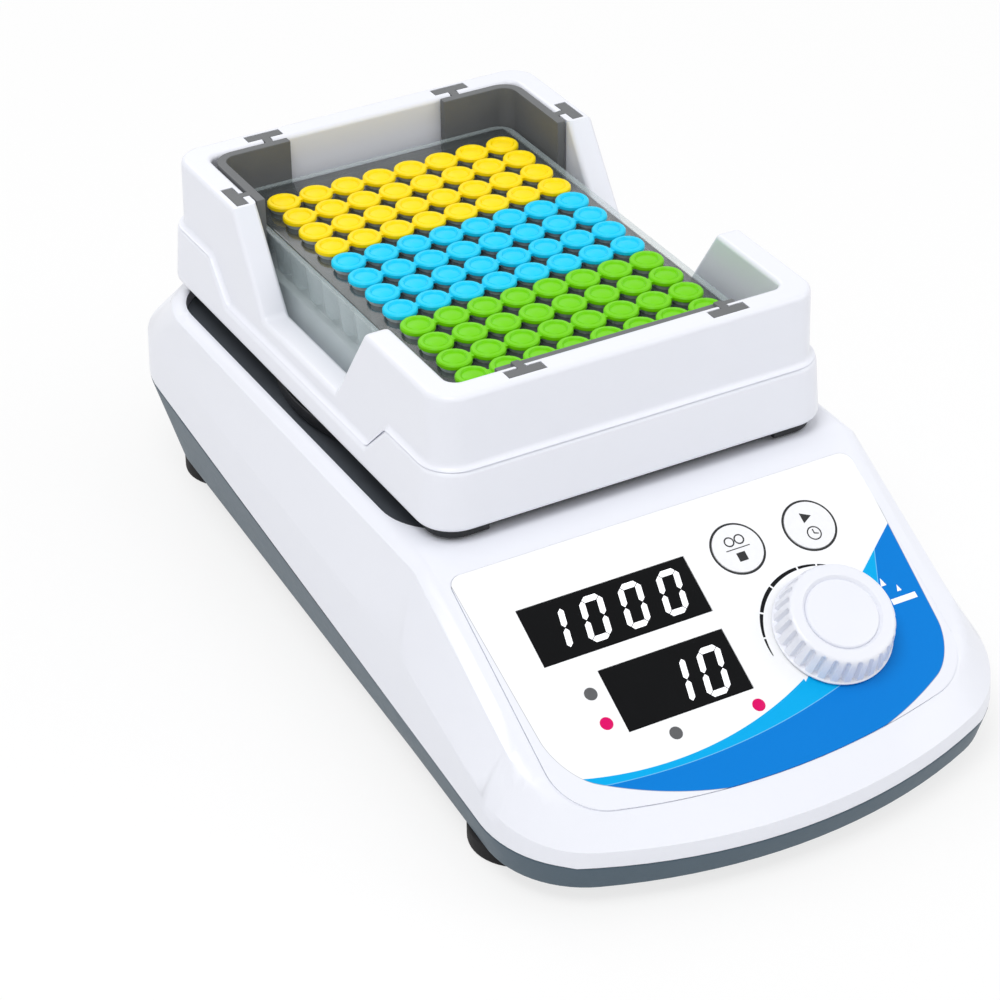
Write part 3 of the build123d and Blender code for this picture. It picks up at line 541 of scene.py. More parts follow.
def refined(node, slot, material, width, whole=True, **bevel):
    """Copy of a CAD node with rounded edges, shaded after its large faces.

    A node whose flat faces have openings keeps its triangles, so that no opening is closed.
    """
    bm = merged(node, whole)
    soften(bm, width, **bevel)
    made = piece(bm, node + "_finished", body_of(node), material, (node,))
    made.modifiers.new("even_shading", "WEIGHTED_NORMAL").keep_sharp = True


def turned(profile, steps):
    """Closed shape of a line of (radius, height) points spun once about the Z axis."""
    bm = bmesh.new()
    verts = [bm.verts.new((radius, 0, height)) for radius, height in profile]
    edges = [bm.edges.new(pair) for pair in zip(verts, verts[1:])]
    bmesh.ops.spin(
        bm,
        geom=verts + edges,
        cent=(0, 0, 0),
        axis=(0, 0, 1),
        angle=2 * pi,
        steps=steps,
        use_merge=True,
    )
    bmesh.ops.remove_doubles(bm, verts=bm.verts, dist=POLE_WITHIN)
    bmesh.ops.recalc_face_normals(bm, faces=bm.faces)
    return bm


def ring(radius, thickness, low, high, steps):
    """Flat ring as a turned shape."""
    outer = radius + thickness / 2
    inner = radius - thickness / 2
    return turned([(inner, low), (outer, low), (outer, high), (inner, high), (inner, low)], steps)


def oblong(half_x, half_y):
    return [(-half_x, -half_y), (half_x, -half_y), (half_x, half_y), (-half_x, half_y)]


def prism(points, low, high):
    """Flat outline raised from low to high."""
    bm = bmesh.new()
    face = bm.faces.new([bm.verts.new((x, y, low)) for x, y in points])
    raised = bmesh.ops.extrude_face_region(bm, geom=[face])
    moved = [item for item in raised["geom"] if isinstance(item, bmesh.types.BMVert)]
    bmesh.ops.translate(bm, vec=(0, 0, high - low), verts=moved)
    bmesh.ops.recalc_face_normals(bm, faces=bm.faces)
    return bm


def printed(points, face):
    """Flat sign a hair above a face of the panel."""
    return prism(points, face, face + INK)


def placed(*shapes):
    """One bmesh that holds each of the given (shape, places) at its places."""
    whole = bmesh.new()
    for shape, places in shapes:
        mesh = bpy.data.meshes.new("shape")
        shape.to_mesh(mesh)
        shape.free()
        for place in places:
            start = len(whole.verts)
            whole.from_mesh(mesh)
            whole.verts.ensure_lookup_table()
            bmesh.ops.transform(whole, matrix=place, verts=whole.verts[start:])
        bpy.data.meshes.remove(mesh)
    return whole


# White housing. The line between it and the base pan rises towards the back.
PARTING_HEIGHT = 23.0
PARTING_SLOPE = 0.08
PARTING_SHIFT = 26.75
RIM_BAND = 4.0
RIM_SIDE = 57.0
RIM_END = 111.0

# The recessed deck under the tray is a grey plate. Its colour is darkened well below that grey as
# painted shade, for the shade that falls under the tray.
DECK_HEIGHT = 54.0
DECK_HALF = 56.2
DECK_FRONT = -40.0


def housing_white_and_deck_shade(colour):
    """White plastic whose recessed deck is painted dark grey: its own grey, darkened with painted
    shade for the shade under the tray.
    """
    made = Finish("housing_white_and_deck_shade", Coat_Weight=0.15, Coat_Roughness=0.12, Specular_IOR_Level=0.4)
    x, y, z = [
        made.flow.add("ShaderNodeSeparateXYZ", None, {"Vector": made.place}, axis) / MM
        for axis in ("X", "Y", "Z")
    ]
    # Painted shade: the deck gets a dark grey, darker than its own grey plate, that stands in for
    # the shade under the tray.
    level = inside(abs(z - DECK_HEIGHT) - 0.05, softness=0.02)
    sides = inside(abs(x) - DECK_HALF, softness=0.2)
    deck_shade_mask = level * sides * inside(DECK_FRONT - y, softness=0.2)
    deck_grey_and_shade = blend(made.noise(6.0), rgba(paint("4c5157")), rgba(paint("565b62")))
    made.set("Base Color", blend(deck_shade_mask, made.drift(colour, change=0.012, size=14.0), deck_grey_and_shade))
    made.polish(0.3, 0.39, size=3.0)
    made.bump(made.noise(0.9, detail=3.0), depth=0.006)
    return made.material


def on_lower_rim(edge):
    """True for the rim that meets the base pan. The ridge round the top is smooth by shading."""
    middle = middle_of(edge)
    parting = PARTING_HEIGHT + PARTING_SLOPE * (middle.y - PARTING_SHIFT)
    outer = abs(middle.x) > RIM_SIDE or abs(middle.y) > RIM_END
    return outer and abs(middle.z - parting) < RIM_BAND


class SHAKER_OT_housing(bpy.types.Operator):
    """Rounds and shades the white housing"""

    bl_idname = "shaker.housing"
    bl_label = "Housing"

    def execute(self, context):
        white = housing_white_and_deck_shade(context.scene.shaker_shell.white)
        refined("housing", "white_shell", white, 0.5, corner=40.0, chosen=on_lower_rim)
        return {"FINISHED"}


class SHAKER_OT_base(bpy.types.Operator):
    """Finishes the base pan, its feet and screws"""

    bl_idname = "shaker.base"
    bl_label = "Base"

    def execute(self, context):
        slate = slate_plastic(context.scene.shaker_shell.slate)
        refined("base_pan", "slate_shell", slate, 0.5, whole=False)
        refined("feet", "foot_rubber", foot_rubber(), 0.8, segments=3)
        dressed(metal("screw_steel", "a9abae", 0.25), "housing_screws")
        return {"FINISHED"}


# Printed label.
def arc_gap(across, down, centre, radius):
    """Signed distance to an arc on the label, above nought inside it."""
    return radius - reach(across - centre[0], down - centre[1])


def sweep(across, down):
    """Masks of the blue field, of its dark part, and of the pale line between the two."""
    # The field's upper edge is an arc as far as the bend, and a straight line from there.
    bend = 13.9
    rise = 0.756
    down_at_bend = 57.6
    arc = arc_gap(across, down, (-23.5, -27.7), 92.4)
    line = (down_at_bend - (across - bend) * rise - down) * cos(atan2(rise, 1))
    right = inside(bend - across, softness=0.01)
    field = inside(arc) * (1 - right) + inside(line) * right
    # The dark part has a flatter arc, and a steep line at the right.
    lean = 0.44
    steep = (61.5 - across - down * lean) * 0.915
    edge = smaller(arc_gap(across, down, (-19.8, -99.0), 165.4), steep)
    line_half = 0.09
    return field, inside(edge), inside(abs(edge) - line_half)


def printed_edge(across, down):
    """Signed distance to the edge of the printed field.

    Its sides draw in downwards, its lower edge is bowed, and its lower corners are round.
    """
    middle = 0.4
    half_width = 55.0
    draw_in = 0.05
    corner = 7.0
    side = abs(across - middle) + down * draw_in - half_width + corner
    bow = corner - arc_gap(across, down, (3.0, -15.0), 92.0)
    outer = reach(larger(side, 0.0), larger(bow, 0.0))
    return outer + smaller(larger(side, bow), 0.0) - corner


def dial_scale(across, down):
    """Mask of the broken arc round the knob, thickest in the middle and thin at its ends."""
    radius = 16.9
    middle = -34.0
    half_sweep = 61.0
    thin = 0.12
    swell = 0.38
    x = across - KNOB_AT[0]
    up = KNOB_AT[1] - down
    angle = x.maths("ARCTAN2", x, up) * degrees(1)
    along = (angle - middle) / half_sweep
    thick = (1 - along * along) * swell + thin
    mask = inside(abs(reach(x, up) - radius) - thick)
    mask = mask * inside((abs(along) - 1) * 20, softness=0.5)
    break_half = 0.22
    for gap in (16.4, -0.5, -30.5, -57.0, -79.0):
        mask = mask * inside(break_half - abs(angle - gap) * radians(radius))
    return mask


def label_print(panel, outside):
    """Label with its blue sweep, its dial scale and a fine line at the edge of the print."""
    made = Finish("label_print", Specular_IOR_Level=0.1)
    shift = Matrix.Rotation(-PANEL_SLOPE, 4, "X") @ Vector(PANEL_ORIGIN)
    laid = {
        "Vector": made.place,
        "Location": -shift,
        "Rotation": (-PANEL_SLOPE, 0, 0),
        "Scale": (1 / MM,) * 3,
    }
    plane = made.flow.add("ShaderNodeMapping", None, laid)
    across, up = [
        made.flow.add("ShaderNodeSeparateXYZ", None, {"Vector": plane}, axis) for axis in ("X", "Y")
    ]
    down = 0 - up
    field, dark, line = sweep(across, down)
    blue = blend(dark, rgba(panel.light_blue), rgba(panel.dark_blue))
    blue = blend(line * 0.55, blue, rgba(paint("8fd4f5")))
    colour = blend(field, rgba(paint("f6f7f9")), blue)
    colour = blend(dial_scale(across, down), colour, rgba(paint("101114")))
    edge = printed_edge(across, down)
    colour = blend(inside(edge), rgba(outside), colour)
    line_half = 0.1
    colour = blend(inside(abs(edge) - line_half) * 0.45, colour, rgba(paint("70757c")))
    made.set("Base Color", colour)
    made.polish(0.34, 0.44, size=5.0)
    made.bump(made.noise(0.8), depth=0.004)
    return made.material


class SHAKER_OT_label(bpy.types.Operator):
    """Prints the label and the marks beside the knob"""

    bl_idname = "shaker.label"
    bl_label = "Label"

    def execute(self, context):
        scene = context.scene
        dressed(label_print(scene.shaker_panel, scene.shaker_shell.white), "panel_label")
        triangle = [(-0.75, -0.95), (0.75, -0.95), (0.1, 1.15)]
        smaller_triangle = [(x * 0.8, y * 0.8) for x, y in triangle]
        marks = placed(
            (printed(triangle, LABEL_FACE), [on_panel((44.5, 40.9))]),
            (printed(smaller_triangle, LABEL_FACE), [on_panel((47.6, 43.5))]),
            (printed(oblong(3.4, 0.75), LABEL_FACE), [on_panel((47.7, 46.4))]),
        )
        piece(marks, "panel_marks", "base", ink("white_ink", "ffffff"))
        return {"FINISHED"}


# Displays. The bars of a digit join points on a grid of two columns and three levels.
LOW_BAR, MIDDLE_LEFT, TOP_LEFT = ((0, 0), (1, 0)), ((0, 0), (0, 1)), ((0, 1), (0, 2))
TOP_BAR, MIDDLE_RIGHT, TOP_RIGHT = ((0, 2), (1, 2)), ((1, 0), (1, 1)), ((1, 1), (1, 2))
DIGIT_BARS = {
    "0": (LOW_BAR, MIDDLE_LEFT, TOP_LEFT, TOP_BAR, MIDDLE_RIGHT, TOP_RIGHT),
    "1": (MIDDLE_RIGHT, TOP_RIGHT),
}
BAR_GAP = 0.13


def digit_bar(start, end, half):
    """Outline of a six-sided bar with pointed ends between two points."""
    along = (end - start).normalized() * half
    side = Vector((-along.y, along.x))
    first, last = start + along, end - along
    return [start, first - side, last - side, end, last + side, first + side]


def digits(text, corner, width, height, slant, pitch, stroke):
    """Slanted digits, whose corner is the bottom left of the first one on the panel."""
    shapes = []
    for index, sign in enumerate(text):
        place = on_panel((corner[0] + index * pitch, corner[1]))
        for bar in DIGIT_BARS[sign]:
            start, end = [Vector((column * width, level * height / 2)) for column, level in bar]
            along = (end - start).normalized() * BAR_GAP
            outline = digit_bar(start + along, end - along, stroke / 2)
            leaned = [(point.x + slant * point.y / height, point.y) for point in outline]
            shapes.append((printed(leaned, LABEL_FACE), [place]))
    return placed(*shapes)


class SHAKER_OT_displays(bpy.types.Operator):
    """Blackens the two windows and lights their digits"""

    bl_idname = "shaker.displays"
    bl_label = "Displays"

    def execute(self, context):
        stroke = context.scene.shaker_panel.digit_stroke / MM
        glow = digit_glow()
        speed = digits(
            "1000", (-39.3, 31.5), width=4.6, height=9.9, slant=2.0, pitch=10.2, stroke=stroke
        )
        minutes = digits(
            "10", (-18.6, 53.1), width=4.8, height=10.6, slant=2.3, pitch=9.4, stroke=stroke
        )
        piece(speed, "speed_figures", "base", glow)
        piece(minutes, "time_figures", "base", glow)
        dressed(window_black(), "speed_window", "time_window")
        dressed(plain_plastic("display_module", "202124", 0.5), "speed_digits", "time_digits")
        return {"FINISHED"}


# Lamps.
LENS_RISE = 0.22


def lamp_lens():
    profile = [
        (0, LABEL_FACE),
        (1.6, LABEL_FACE),
        (1.5, LABEL_FACE + LENS_RISE * 0.6),
        (0.9, LABEL_FACE + LENS_RISE),
        (0, LABEL_FACE + LENS_RISE * 1.1),
    ]
    return turned(profile, 24)


class SHAKER_OT_lamps(bpy.types.Operator):
    """Adds the four lamp lenses"""

    bl_idname = "shaker.lamps"
    bl_label = "Lamps"

    def execute(self, context):
        lit = Finish("lamp_lit", Roughness=0.3, Specular_IOR_Level=0.15)
        lit.shade(context.scene.shaker_panel.lamp, change=0.06, size=2.0)
        lenses = (
            ("lamps_lit", LIT_LAMPS, lit.material),
            ("lamps_dark", DARK_LAMPS, ink("lamp_dark", "56575a")),
        )
        for name, spots, material in lenses:
            lamps = placed((lamp_lens(), [on_panel(spot) for spot in spots]))
            piece(lamps, name, "base", material)
        dressed(plain_plastic("lamp_bodies", "d8d8d8", 0.4), "indicator_lamps")
        return {"FINISHED"}


# Keys and their signs.
RING_DEPTH = 0.28
RING_PROUD = 0.02


def mode_signs(x, down):
    """Two small rings over a bar over a square."""
    loops = [on_panel((x + side, down - 2.1)) for side in (-1.35, 1.35)]
    return placed(
        (printed(oblong(3.2, 0.12), KEY_PROUD), [on_panel((x, down))]),
        (printed(oblong(1.15, 1.15), KEY_PROUD), [on_panel((x, down + 2.3))]),
        (ring(1.15, 0.35, KEY_PROUD, KEY_PROUD + INK, 24), loops),
    )


def start_signs(x, down):
    """Triangle that points right over a clock face with two hands."""
    play = [(-1.1, -1.4), (1.5, 0.0), (-1.1, 1.4)]
    hand = [(-0.15, -0.12), (0.15, -0.12), (0.15, 1.1), (-0.15, 1.1)]
    clock = on_panel((x, down + 2.3))
    hands = [clock, clock @ Matrix.Rotation(radians(-110), 4, "Z")]
    return placed(
        (printed(play, KEY_PROUD), [on_panel((x, down - 2.2))]),
        (ring(1.7, 0.32, KEY_PROUD, KEY_PROUD + INK, 24), [clock]),
        (printed(hand, KEY_PROUD), hands),
    )


class SHAKER_OT_keys(bpy.types.Operator):
    """Finishes the two keys, their rings and their signs"""

    bl_idname = "shaker.keys"
    bl_label = "Keys"

    def execute(self, context):
        face = ink("key_white", "f3f4f7")
        for node in KEYS:
            refined(node, "white_shell", face, 0.15)
        black = ink("black_ink", "1a1b1e")
        bezel = ring(6.64, 0.44, -RING_DEPTH, LABEL_FACE + RING_PROUD, 64)
        rings = placed((bezel, [on_panel(place) for place in KEYS.values()]))
        piece(rings, "key_rings", "base", black)
        mode = mode_signs(*KEYS["key_mode"])
        piece(mode, "mode_key_signs", "mode_key", black)
        start = start_signs(*KEYS["key_start"])
        piece(start, "start_key_signs", "start_key", black)
        return {"FINISHED"}


# Speed knob. Each rib takes six points, and the groove's share at each of them is listed here.
RIB_PATTERN = (0.0, 1.0, 1.0, 0.0, 0.0, 0.0)
KNOB_BASE = 0.6
KNOB_HEIGHT = 8.5


def knob_levels(groove):
    """Levels of the grip from its foot to its dished top, as (radius, height, groove depth)."""
    return [
        (13.9, KNOB_BASE, 0),
        (14.5, KNOB_BASE, 0),
        (14.7, 0.8, 0),
        (14.7, 1.1, 0),
        (14.5, 1.25, groove * 0.3),
        (14.35, 1.4, groove * 0.9),
        (13.4, 6.6, groove),
        (13.2, 7.2, groove * 0.8),
        (13.0, 7.7, groove * 0.25),
        (12.7, 8.15, 0),
        (12.3, KNOB_HEIGHT - 0.08, 0),
        (11.9, KNOB_HEIGHT, 0),
        (10.0, KNOB_HEIGHT, 0),
        (9.7, 8.42, 0),
        (9.1, 7.75, 0),
        (8.8, 7.5, 0),
    ]


def ribbed_rings(levels, ribs):
    """Closed shape of rings extruded one from the other, drawn in where the grooves are."""
    steps = ribs * len(RIB_PATTERN)
    bm = bmesh.new()
    loop = bmesh.ops.create_circle(bm, cap_ends=False, segments=steps, radius=1.0)["verts"]
    edges = list(bm.edges)
    for number, (radius, height, groove) in enumerate(levels):
        if number:
            made = bmesh.ops.extrude_edge_only(bm, edges=edges)["geom"]
            loop = {item for item in made if isinstance(item, bmesh.types.BMVert)}
            edges = [
                item
                for item in made
                if isinstance(item, bmesh.types.BMEdge) and loop.issuperset(item.verts)
            ]
        for vert in loop:
            index = round(atan2(vert.co.y, vert.co.x) * steps / (2 * pi)) % steps
            angle = 2 * pi * index / steps
            r = radius - groove * RIB_PATTERN[index % len(RIB_PATTERN)]
            vert.co = (r * cos(angle), r * sin(angle), height)
    foot = [edge for edge in bm.edges if edge.is_boundary and edge not in edges]
    for end in (edges, foot):
        bmesh.ops.contextual_create(bm, geom=end)
    bmesh.ops.recalc_face_normals(bm, faces=bm.faces)
    return bm


class SHAKER_OT_knob(bpy.types.Operator):
    """Models the ribbed speed knob"""

    bl_idname = "shaker.knob"
    bl_label = "Knob"

    def execute(self, context):
        settings = context.scene.shaker_knob
        white = moulded_white("knob_white", context.scene.shaker_shell.white, 0.36)
        ribbed = ribbed_rings(knob_levels(settings.groove / MM), settings.ribs)
        grip = placed((ribbed, [on_panel(KNOB_AT)]))
        piece(grip, "knob_grip", "speed_knob", white, ("knob",))
        profile = [(0, 7.6), (8.9, 7.6), (8.85, 7.95), (8.6, 8.2), (8.2, 8.28), (0, 8.3)]
        disc = placed((turned(profile, 64), [on_panel(KNOB_AT)]))
        piece(disc, "knob_disc", "speed_knob", white, ("knob_cap",))
        dressed(metal("shaft_steel", "b4b6b8", 0.3), "knob_shaft")
        return {"FINISHED"}


class SHAKER_OT_rear_bay(bpy.types.Operator):
    """Finishes the socket and the rocker in the bay at the back"""

    bl_idname = "shaker.rear_bay"
    bl_label = "Rear bay"

    def execute(self, context):
        black = plain_plastic("socket_black", "1c1d20", 0.4)
        refined("power_jack", "part_black", black, 0.25)
        refined("switch_frame", "part_black", black, 0.3)
        rocker = plain_plastic("rocker_black", "222327", 0.32)
        refined("power_rocker", "part_black", rocker, 0.4, segments=3)
        return {"FINISHED"}


# Motor, eccentric drive and the parts inside.
DISC_FACE_FROM = 55.5


def on_disc_face(edge):
    return min(vert.co.z for vert in edge.verts) / MM > DISC_FACE_FROM


class SHAKER_OT_drive(bpy.types.Operator):
    """Gives the drive and the inner parts their materials"""

    bl_idname = "shaker.drive"
    bl_label = "Drive"

    def execute(self, context):
        dressed(metal("motor_steel", "94979b", 0.3), "motor")
        dressed(
            metal("plate_steel", "b9bbbe", 0.32),
            "motor_plate",
            "drive_shaft",
            "idler_left",
            "idler_right",
            "plate_screws",
            "tray_screws",
        )
        dressed(metal("brass_part", "c9a65a", 0.28), "eccentric", "counterweight")
        dressed(metal("bearing_steel", "c4c6c9", 0.2), "pin_bearing")
        dressed(foot_rubber(), "grommets")
        dressed(
            plain_plastic("bearing_plastic", "2a2b2e", 0.5),
            "idler_bearing_left",
            "idler_bearing_right",
            "key_switches",
            "dial_sensor",
        )
        dressed(circuit_board(), "control_board")
        dressed(moulded_white("post_white", context.scene.shaker_shell.white, 0.5), "board_posts")
        disc = plain_plastic("disc_black", "232529", 0.42)
        refined("drive_disc", "disc_black", disc, 0.5, chosen=on_disc_face)
        carrier = plain_plastic("carrier_black", "1f2125", 0.5)
        refined("carrier_plate", "disc_black", carrier, 0.4)
        return {"FINISHED"}


# Tray. The guides hang in slots in its rim, and screw wells stand in its floor.
TRAY_MIDDLE = 28.75
END_SLOTS = (27.0, 67.85)
SIDE_SLOTS = (47.69, 41.0)
SLOT_REACH = 6.2
SLOT_DEPTH = 5.0
SLOT_LENGTH = 12.0
FLOOR_DEPTH = 5.0
WELL_ZONE = (40.0, 60.0)
SLOT_FLOOR = top_of("tray") - SLOT_DEPTH
WELL_TOP = bottom_of("tray") + FLOOR_DEPTH
SLOT_MIDDLES = [
    Vector((side * x, TRAY_MIDDLE + end * y))
    for x, y, ends in ((*END_SLOTS, (-1, 1)), (*SIDE_SLOTS, (1,)))
    for side in (-1, 1)
    for end in ends
]


def on_open_edge(edge):
    """True for the tray's edges, but not for those of the slots and the screw wells."""
    middle = middle_of(edge)
    nearest = min((middle.xy - slot).length for slot in SLOT_MIDDLES)
    by_slot = nearest < SLOT_REACH and middle.z > SLOT_FLOOR
    short = edge.calc_length() / MM < SLOT_LENGTH
    in_zone = abs(middle.x) < WELL_ZONE[0] and abs(middle.y - TRAY_MIDDLE) < WELL_ZONE[1]
    in_well = in_zone and middle.z < WELL_TOP
    return not (by_slot and short) and not in_well


class SHAKER_OT_tray(bpy.types.Operator):
    """Rounds and shades the tray"""

    bl_idname = "shaker.tray"
    bl_label = "Tray"

    def execute(self, context):
        settings = context.scene.shaker_shell
        white = moulded_white("tray_white", settings.white, 0.32)
        edge = settings.tray_edge / MM
        refined("tray", "white_shell", white, edge, segments=3, chosen=on_open_edge)
        return {"FINISHED"}


class SHAKER_OT_guides(bpy.types.Operator):
    """Finishes the grey guides"""

    bl_idname = "shaker.guides"
    bl_label = "Guides"

    def execute(self, context):
        grey = guide_plastic(context.scene.shaker_shell.insert)
        for node in ("corner_guide_left", "corner_guide_right", "front_guide"):
            refined(node, "insert_grey", grey, 0.3)
        return {"FINISHED"}


# Clear rack, tubes and caps.
DECK_THICKNESS = 1.5
TUBE_NECK = 1.0
LAST_COLUMN = (COLUMNS - 1) / 2 * PITCH


def grid(rows):
    """Places of the tubes in the given rows, in the plan."""
    middle = (ROWS_PER_COLOUR * len(COLOURS) - 1) / 2
    columns = [index * PITCH - LAST_COLUMN for index in range(COLUMNS)]
    return [(x, GRID_MIDDLE + (row - middle) * PITCH) for row in rows for x in columns]


class SHAKER_OT_rack(bpy.types.Operator):
    """Makes the rack clear"""

    bl_idname = "shaker.rack"
    bl_label = "Rack"

    def execute(self, context):
        clear = clear_plastic("clear_rack", "cddcde", low=0.08, high=0.62, rough=0.06)
        refined("rack", "clear_rack", clear, 0.35, whole=False)
        return {"FINISHED"}


class SHAKER_OT_tubes(bpy.types.Operator):
    """Models the tubes and the deck that they hang in"""

    bl_idname = "shaker.tubes"
    bl_label = "Tubes"

    def execute(self, context):
        tip = bottom_of("tube_block")
        top = top_of("tube_block")
        body = body_of("tube_block")
        profile = [
            (0, tip),
            (1.6, tip + 0.3),
            (2.3, tip + 1.4),
            (3.05, tip + 9.0),
            (3.1, top - 0.1),
            (3.5, top + 0.02),
            (3.5, top + TUBE_NECK),
            (0, top + TUBE_NECK),
        ]
        rows = range(ROWS_PER_COLOUR * len(COLOURS))
        tubes = placed((turned(profile, 16), [at(x, y, 0) for x, y in grid(rows)]))
        pale = clear_plastic("tube_plastic", "e6f2f4", low=0.62, high=0.95, rough=0.12)
        piece(tubes, "tubes", body, pale, ("tube_block",))

        low, high = [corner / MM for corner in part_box("tube_block")]
        outline = oblong(high.x, (high.y - low.y) / 2)
        place = at(0, (low.y + high.y) / 2, 0)
        deck = placed((prism(outline, top - DECK_THICKNESS, top), [place]))
        soften(deck, 0.5)
        # Painted shade: the deck is coloured a dark smoky grey to stand in for the shadow that
        # falls below the caps.
        deck_shade_plastic = clear_plastic("tube_deck_painted_shade", "4a4f50", low=0.5, high=0.8, rough=0.12)
        piece(deck, "tube_deck", body, deck_shade_plastic)
        return {"FINISHED"}


def cap_shape(steps):
    """Cap with a rounded rim, a fine raised ring and a shallow dish with a crowned middle."""
    profile = [
        (0, 0.75),
        (4.05, 0.75),
        (4.3, 1.0),
        (4.25, 1.75),
        (3.95, 2.08),
        (3.15, 2.14),
        (2.98, 2.28),
        (2.8, 2.12),
        (2.6, 1.82),
        (1.5, 2.02),
        (0, 2.12),
    ]
    return turned(profile, steps)


class SHAKER_OT_caps(bpy.types.Operator):
    """Models the three blocks of caps and the links between the caps of a strip"""

    bl_idname = "shaker.caps"
    bl_label = "Caps"

    def execute(self, context):
        settings = context.scene.shaker_caps
        for index, colour in enumerate(COLOURS):
            slot = "cap_" + colour
            node = "caps_" + colour
            base = bottom_of(node)
            places = grid(range(index * ROWS_PER_COLOUR, (index + 1) * ROWS_PER_COLOUR))
            links = [at(x + PITCH / 2, y, base) for x, y in places if x < LAST_COLUMN]
            caps = placed(
                (cap_shape(settings.steps), [at(x, y, base) for x, y in places]),
                (prism(oblong(0.9, 1.0), 0.85, 1.6), links),
            )
            material = cap_plastic(slot, getattr(settings, colour))
            piece(caps, node + "_finished", body_of(node), material, (node,))
        return {"FINISHED"}


# Stage. The camera stands where the photograph was taken from.
FOCAL = 115.2
SENSOR = 36.0
CAMERA_AT = (-0.3299, -0.57825, 0.4608)
AZIMUTH = radians(28.772)
PITCH_DOWN = radians(32.965)
ROLL = radians(-0.731)
FLOOR_HALF = 4.0
AIM = (0.0, 0.0, 0.05)

# Each light as its place, its width in metres and its power in watts.
LIGHTS = {
    "key_light": ((-0.45, -0.35, 1.3), 0.7, 7.5),
    "fill_light": ((0.9, -0.6, 0.8), 0.8, 2.0),
    "back_light": ((0.1, 1.2, 1.0), 0.8, 2.5),
}

# Share of plain white that is shown on the floor, and the world's level on the object.
FLOOR_SHOWN = 0.75
WORLD_LEVEL = 0.68


def shown(name, data):
    made = bpy.data.objects.new(name, data)
    bpy.context.scene.collection.objects.link(made)
    return made


def camera():
    level = Vector((cos(AZIMUTH), -sin(AZIMUTH), 0))
    forward = Vector((sin(AZIMUTH), cos(AZIMUTH), 0)) * cos(PITCH_DOWN)
    forward.z = -sin(PITCH_DOWN)
    below = forward.cross(level)
    right = level * cos(ROLL) - below * sin(ROLL)
    down = level * sin(ROLL) + below * cos(ROLL)
    lens = bpy.data.cameras.new("camera")
    lens.lens = FOCAL
    lens.sensor_width = SENSOR
    lens.clip_start = 0.01
    made = shown("camera", lens)
    turn = Matrix((right, -down, -forward)).transposed().to_4x4()
    made.matrix_world = Matrix.Translation(CAMERA_AT) @ turn
    bpy.context.scene.camera = made


def softbox(name, place, size, power):
    light = bpy.data.lights.new(name, "AREA")
    light.shape = "DISK"
    light.size = size
    light.energy = power
    aim = Vector(AIM) - Vector(place)
    turn = aim.to_track_quat("-Z", "Y").to_matrix().to_4x4()
    shown(name, light).matrix_world = Matrix.Translation(place) @ turn


def seen(flow):
    """1 for rays from the camera, and for those that metal and clear plastic send on."""
    rays = ("Is Camera Ray", "Is Glossy Ray", "Is Transmission Ray")
    direct, glossy, sent = [flow.add("ShaderNodeLightPath", output=ray) for ray in rays]
    return larger(direct, larger(glossy, sent))


def floor():
    bm = bmesh.new()
    bmesh.ops.create_grid(bm, x_segments=1, y_segments=1, size=FLOOR_HALF)
    mesh = bpy.data.meshes.new("floor")
    bm.to_mesh(mesh)
    bm.free()
    material = bpy.data.materials.new("floor_white")
    material.use_nodes = True
    tree = material.node_tree
    tree.nodes.remove(tree.nodes["Principled BSDF"])
    flow = Flow(tree)
    matte = flow.add("ShaderNodeBsdfDiffuse", None, {"Color": (0.9, 0.9, 0.9, 1)})
    glow = flow.add("ShaderNodeEmission", None, {"Color": (1, 1, 1, 1), "Strength": 1.0})
    mixed = flow.add("ShaderNodeMixShader", None, {0: seen(flow) * FLOOR_SHOWN, 1: matte, 2: glow})
    tree.links.new(mixed.socket, tree.nodes["Material Output"].inputs["Surface"])
    mesh.materials.append(material)
    shown("floor", mesh)


def world():
    made = bpy.data.worlds.new("studio")
    made.use_nodes = True
    bpy.context.scene.world = made
    background = made.node_tree.nodes["Background"]
    background.inputs["Color"].default_value = (1, 1, 1, 1)
    strength = seen(Flow(made.node_tree)) * (1 - WORLD_LEVEL) + WORLD_LEVEL
    made.node_tree.links.new(strength.socket, background.inputs["Strength"])


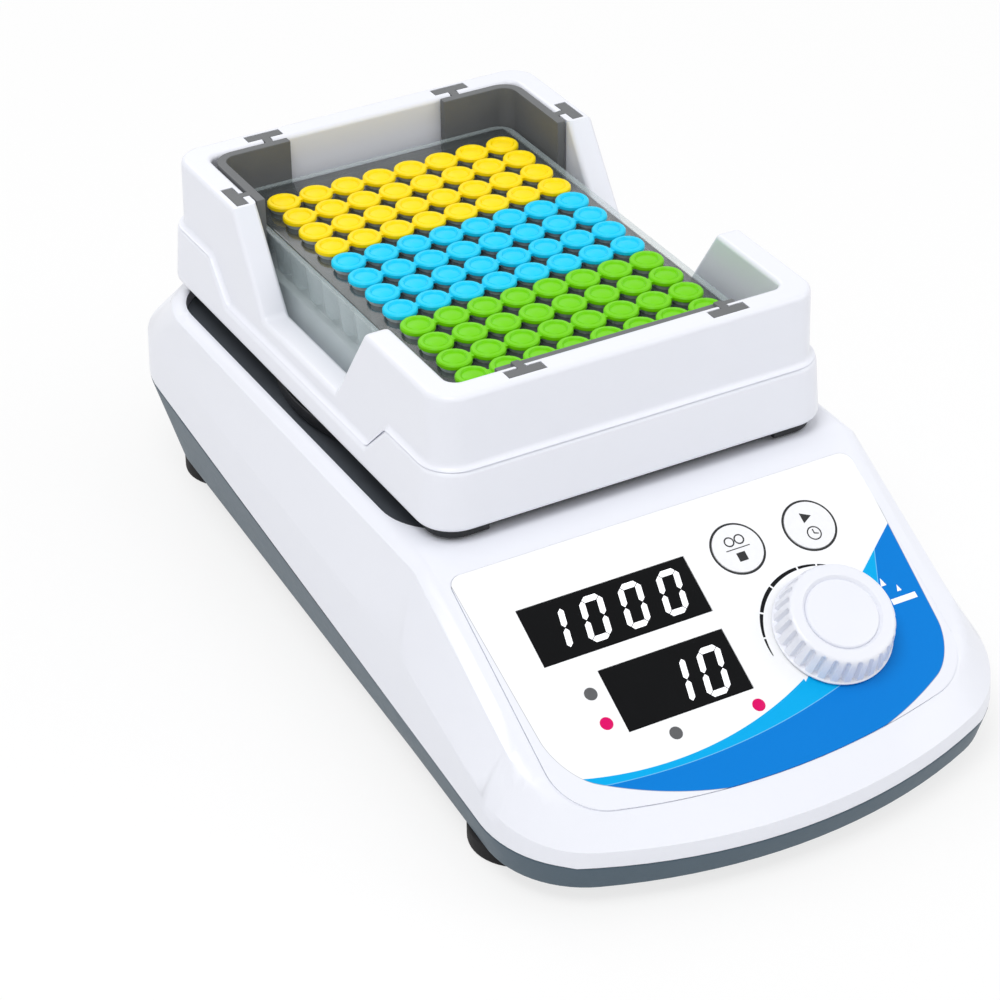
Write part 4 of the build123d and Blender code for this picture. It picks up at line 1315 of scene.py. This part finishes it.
class SHAKER_OT_stage(bpy.types.Operator):
    """Sets up floor, light and camera"""

    bl_idname = "shaker.stage"
    bl_label = "Stage"

    def execute(self, context):
        camera()
        world()
        floor()
        for name, light in LIGHTS.items():
            softbox(name, *light)
        context.scene.view_settings.view_transform = "Standard"
        return {"FINISHED"}


# Sidebar panel and registration.
SETTINGS = {
    "shaker_shell": ShellSettings,
    "shaker_panel": PanelSettings,
    "shaker_knob": KnobSettings,
    "shaker_caps": CapSettings,
}

OPERATORS = (
    SHAKER_OT_housing,
    SHAKER_OT_base,
    SHAKER_OT_label,
    SHAKER_OT_displays,
    SHAKER_OT_lamps,
    SHAKER_OT_keys,
    SHAKER_OT_knob,
    SHAKER_OT_rear_bay,
    SHAKER_OT_drive,
    SHAKER_OT_tray,
    SHAKER_OT_guides,
    SHAKER_OT_rack,
    SHAKER_OT_tubes,
    SHAKER_OT_caps,
    SHAKER_OT_stage,
)


class SHAKER_PT_pieces(bpy.types.Panel):
    """Lists the pieces of the shaker and their settings."""

    bl_label = "Microplate shaker"
    bl_idname = "SHAKER_PT_pieces"
    bl_space_type = "VIEW_3D"
    bl_region_type = "UI"
    bl_category = "Shaker"

    def draw(self, context):
        for made in OPERATORS:
            self.layout.operator(made.bl_idname)
        for name, group in SETTINGS.items():
            for setting in group.__annotations__:
                self.layout.prop(getattr(context.scene, name), setting)


def register():
    for name, group in SETTINGS.items():
        bpy.utils.register_class(group)
        setattr(bpy.types.Scene, name, bpy.props.PointerProperty(type=group))
    for made in OPERATORS:
        bpy.utils.register_class(made)
    bpy.utils.register_class(SHAKER_PT_pieces)


def unregister():
    bpy.utils.unregister_class(SHAKER_PT_pieces)
    for made in reversed(OPERATORS):
        bpy.utils.unregister_class(made)
    for name, group in SETTINGS.items():
        delattr(bpy.types.Scene, name)
        bpy.utils.unregister_class(group)


def main():
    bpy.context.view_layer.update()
    register()
    for made in OPERATORS:
        group, name = made.bl_idname.split(".")
        getattr(getattr(bpy.ops, group), name)()


if __name__ == "__main__":
    main()
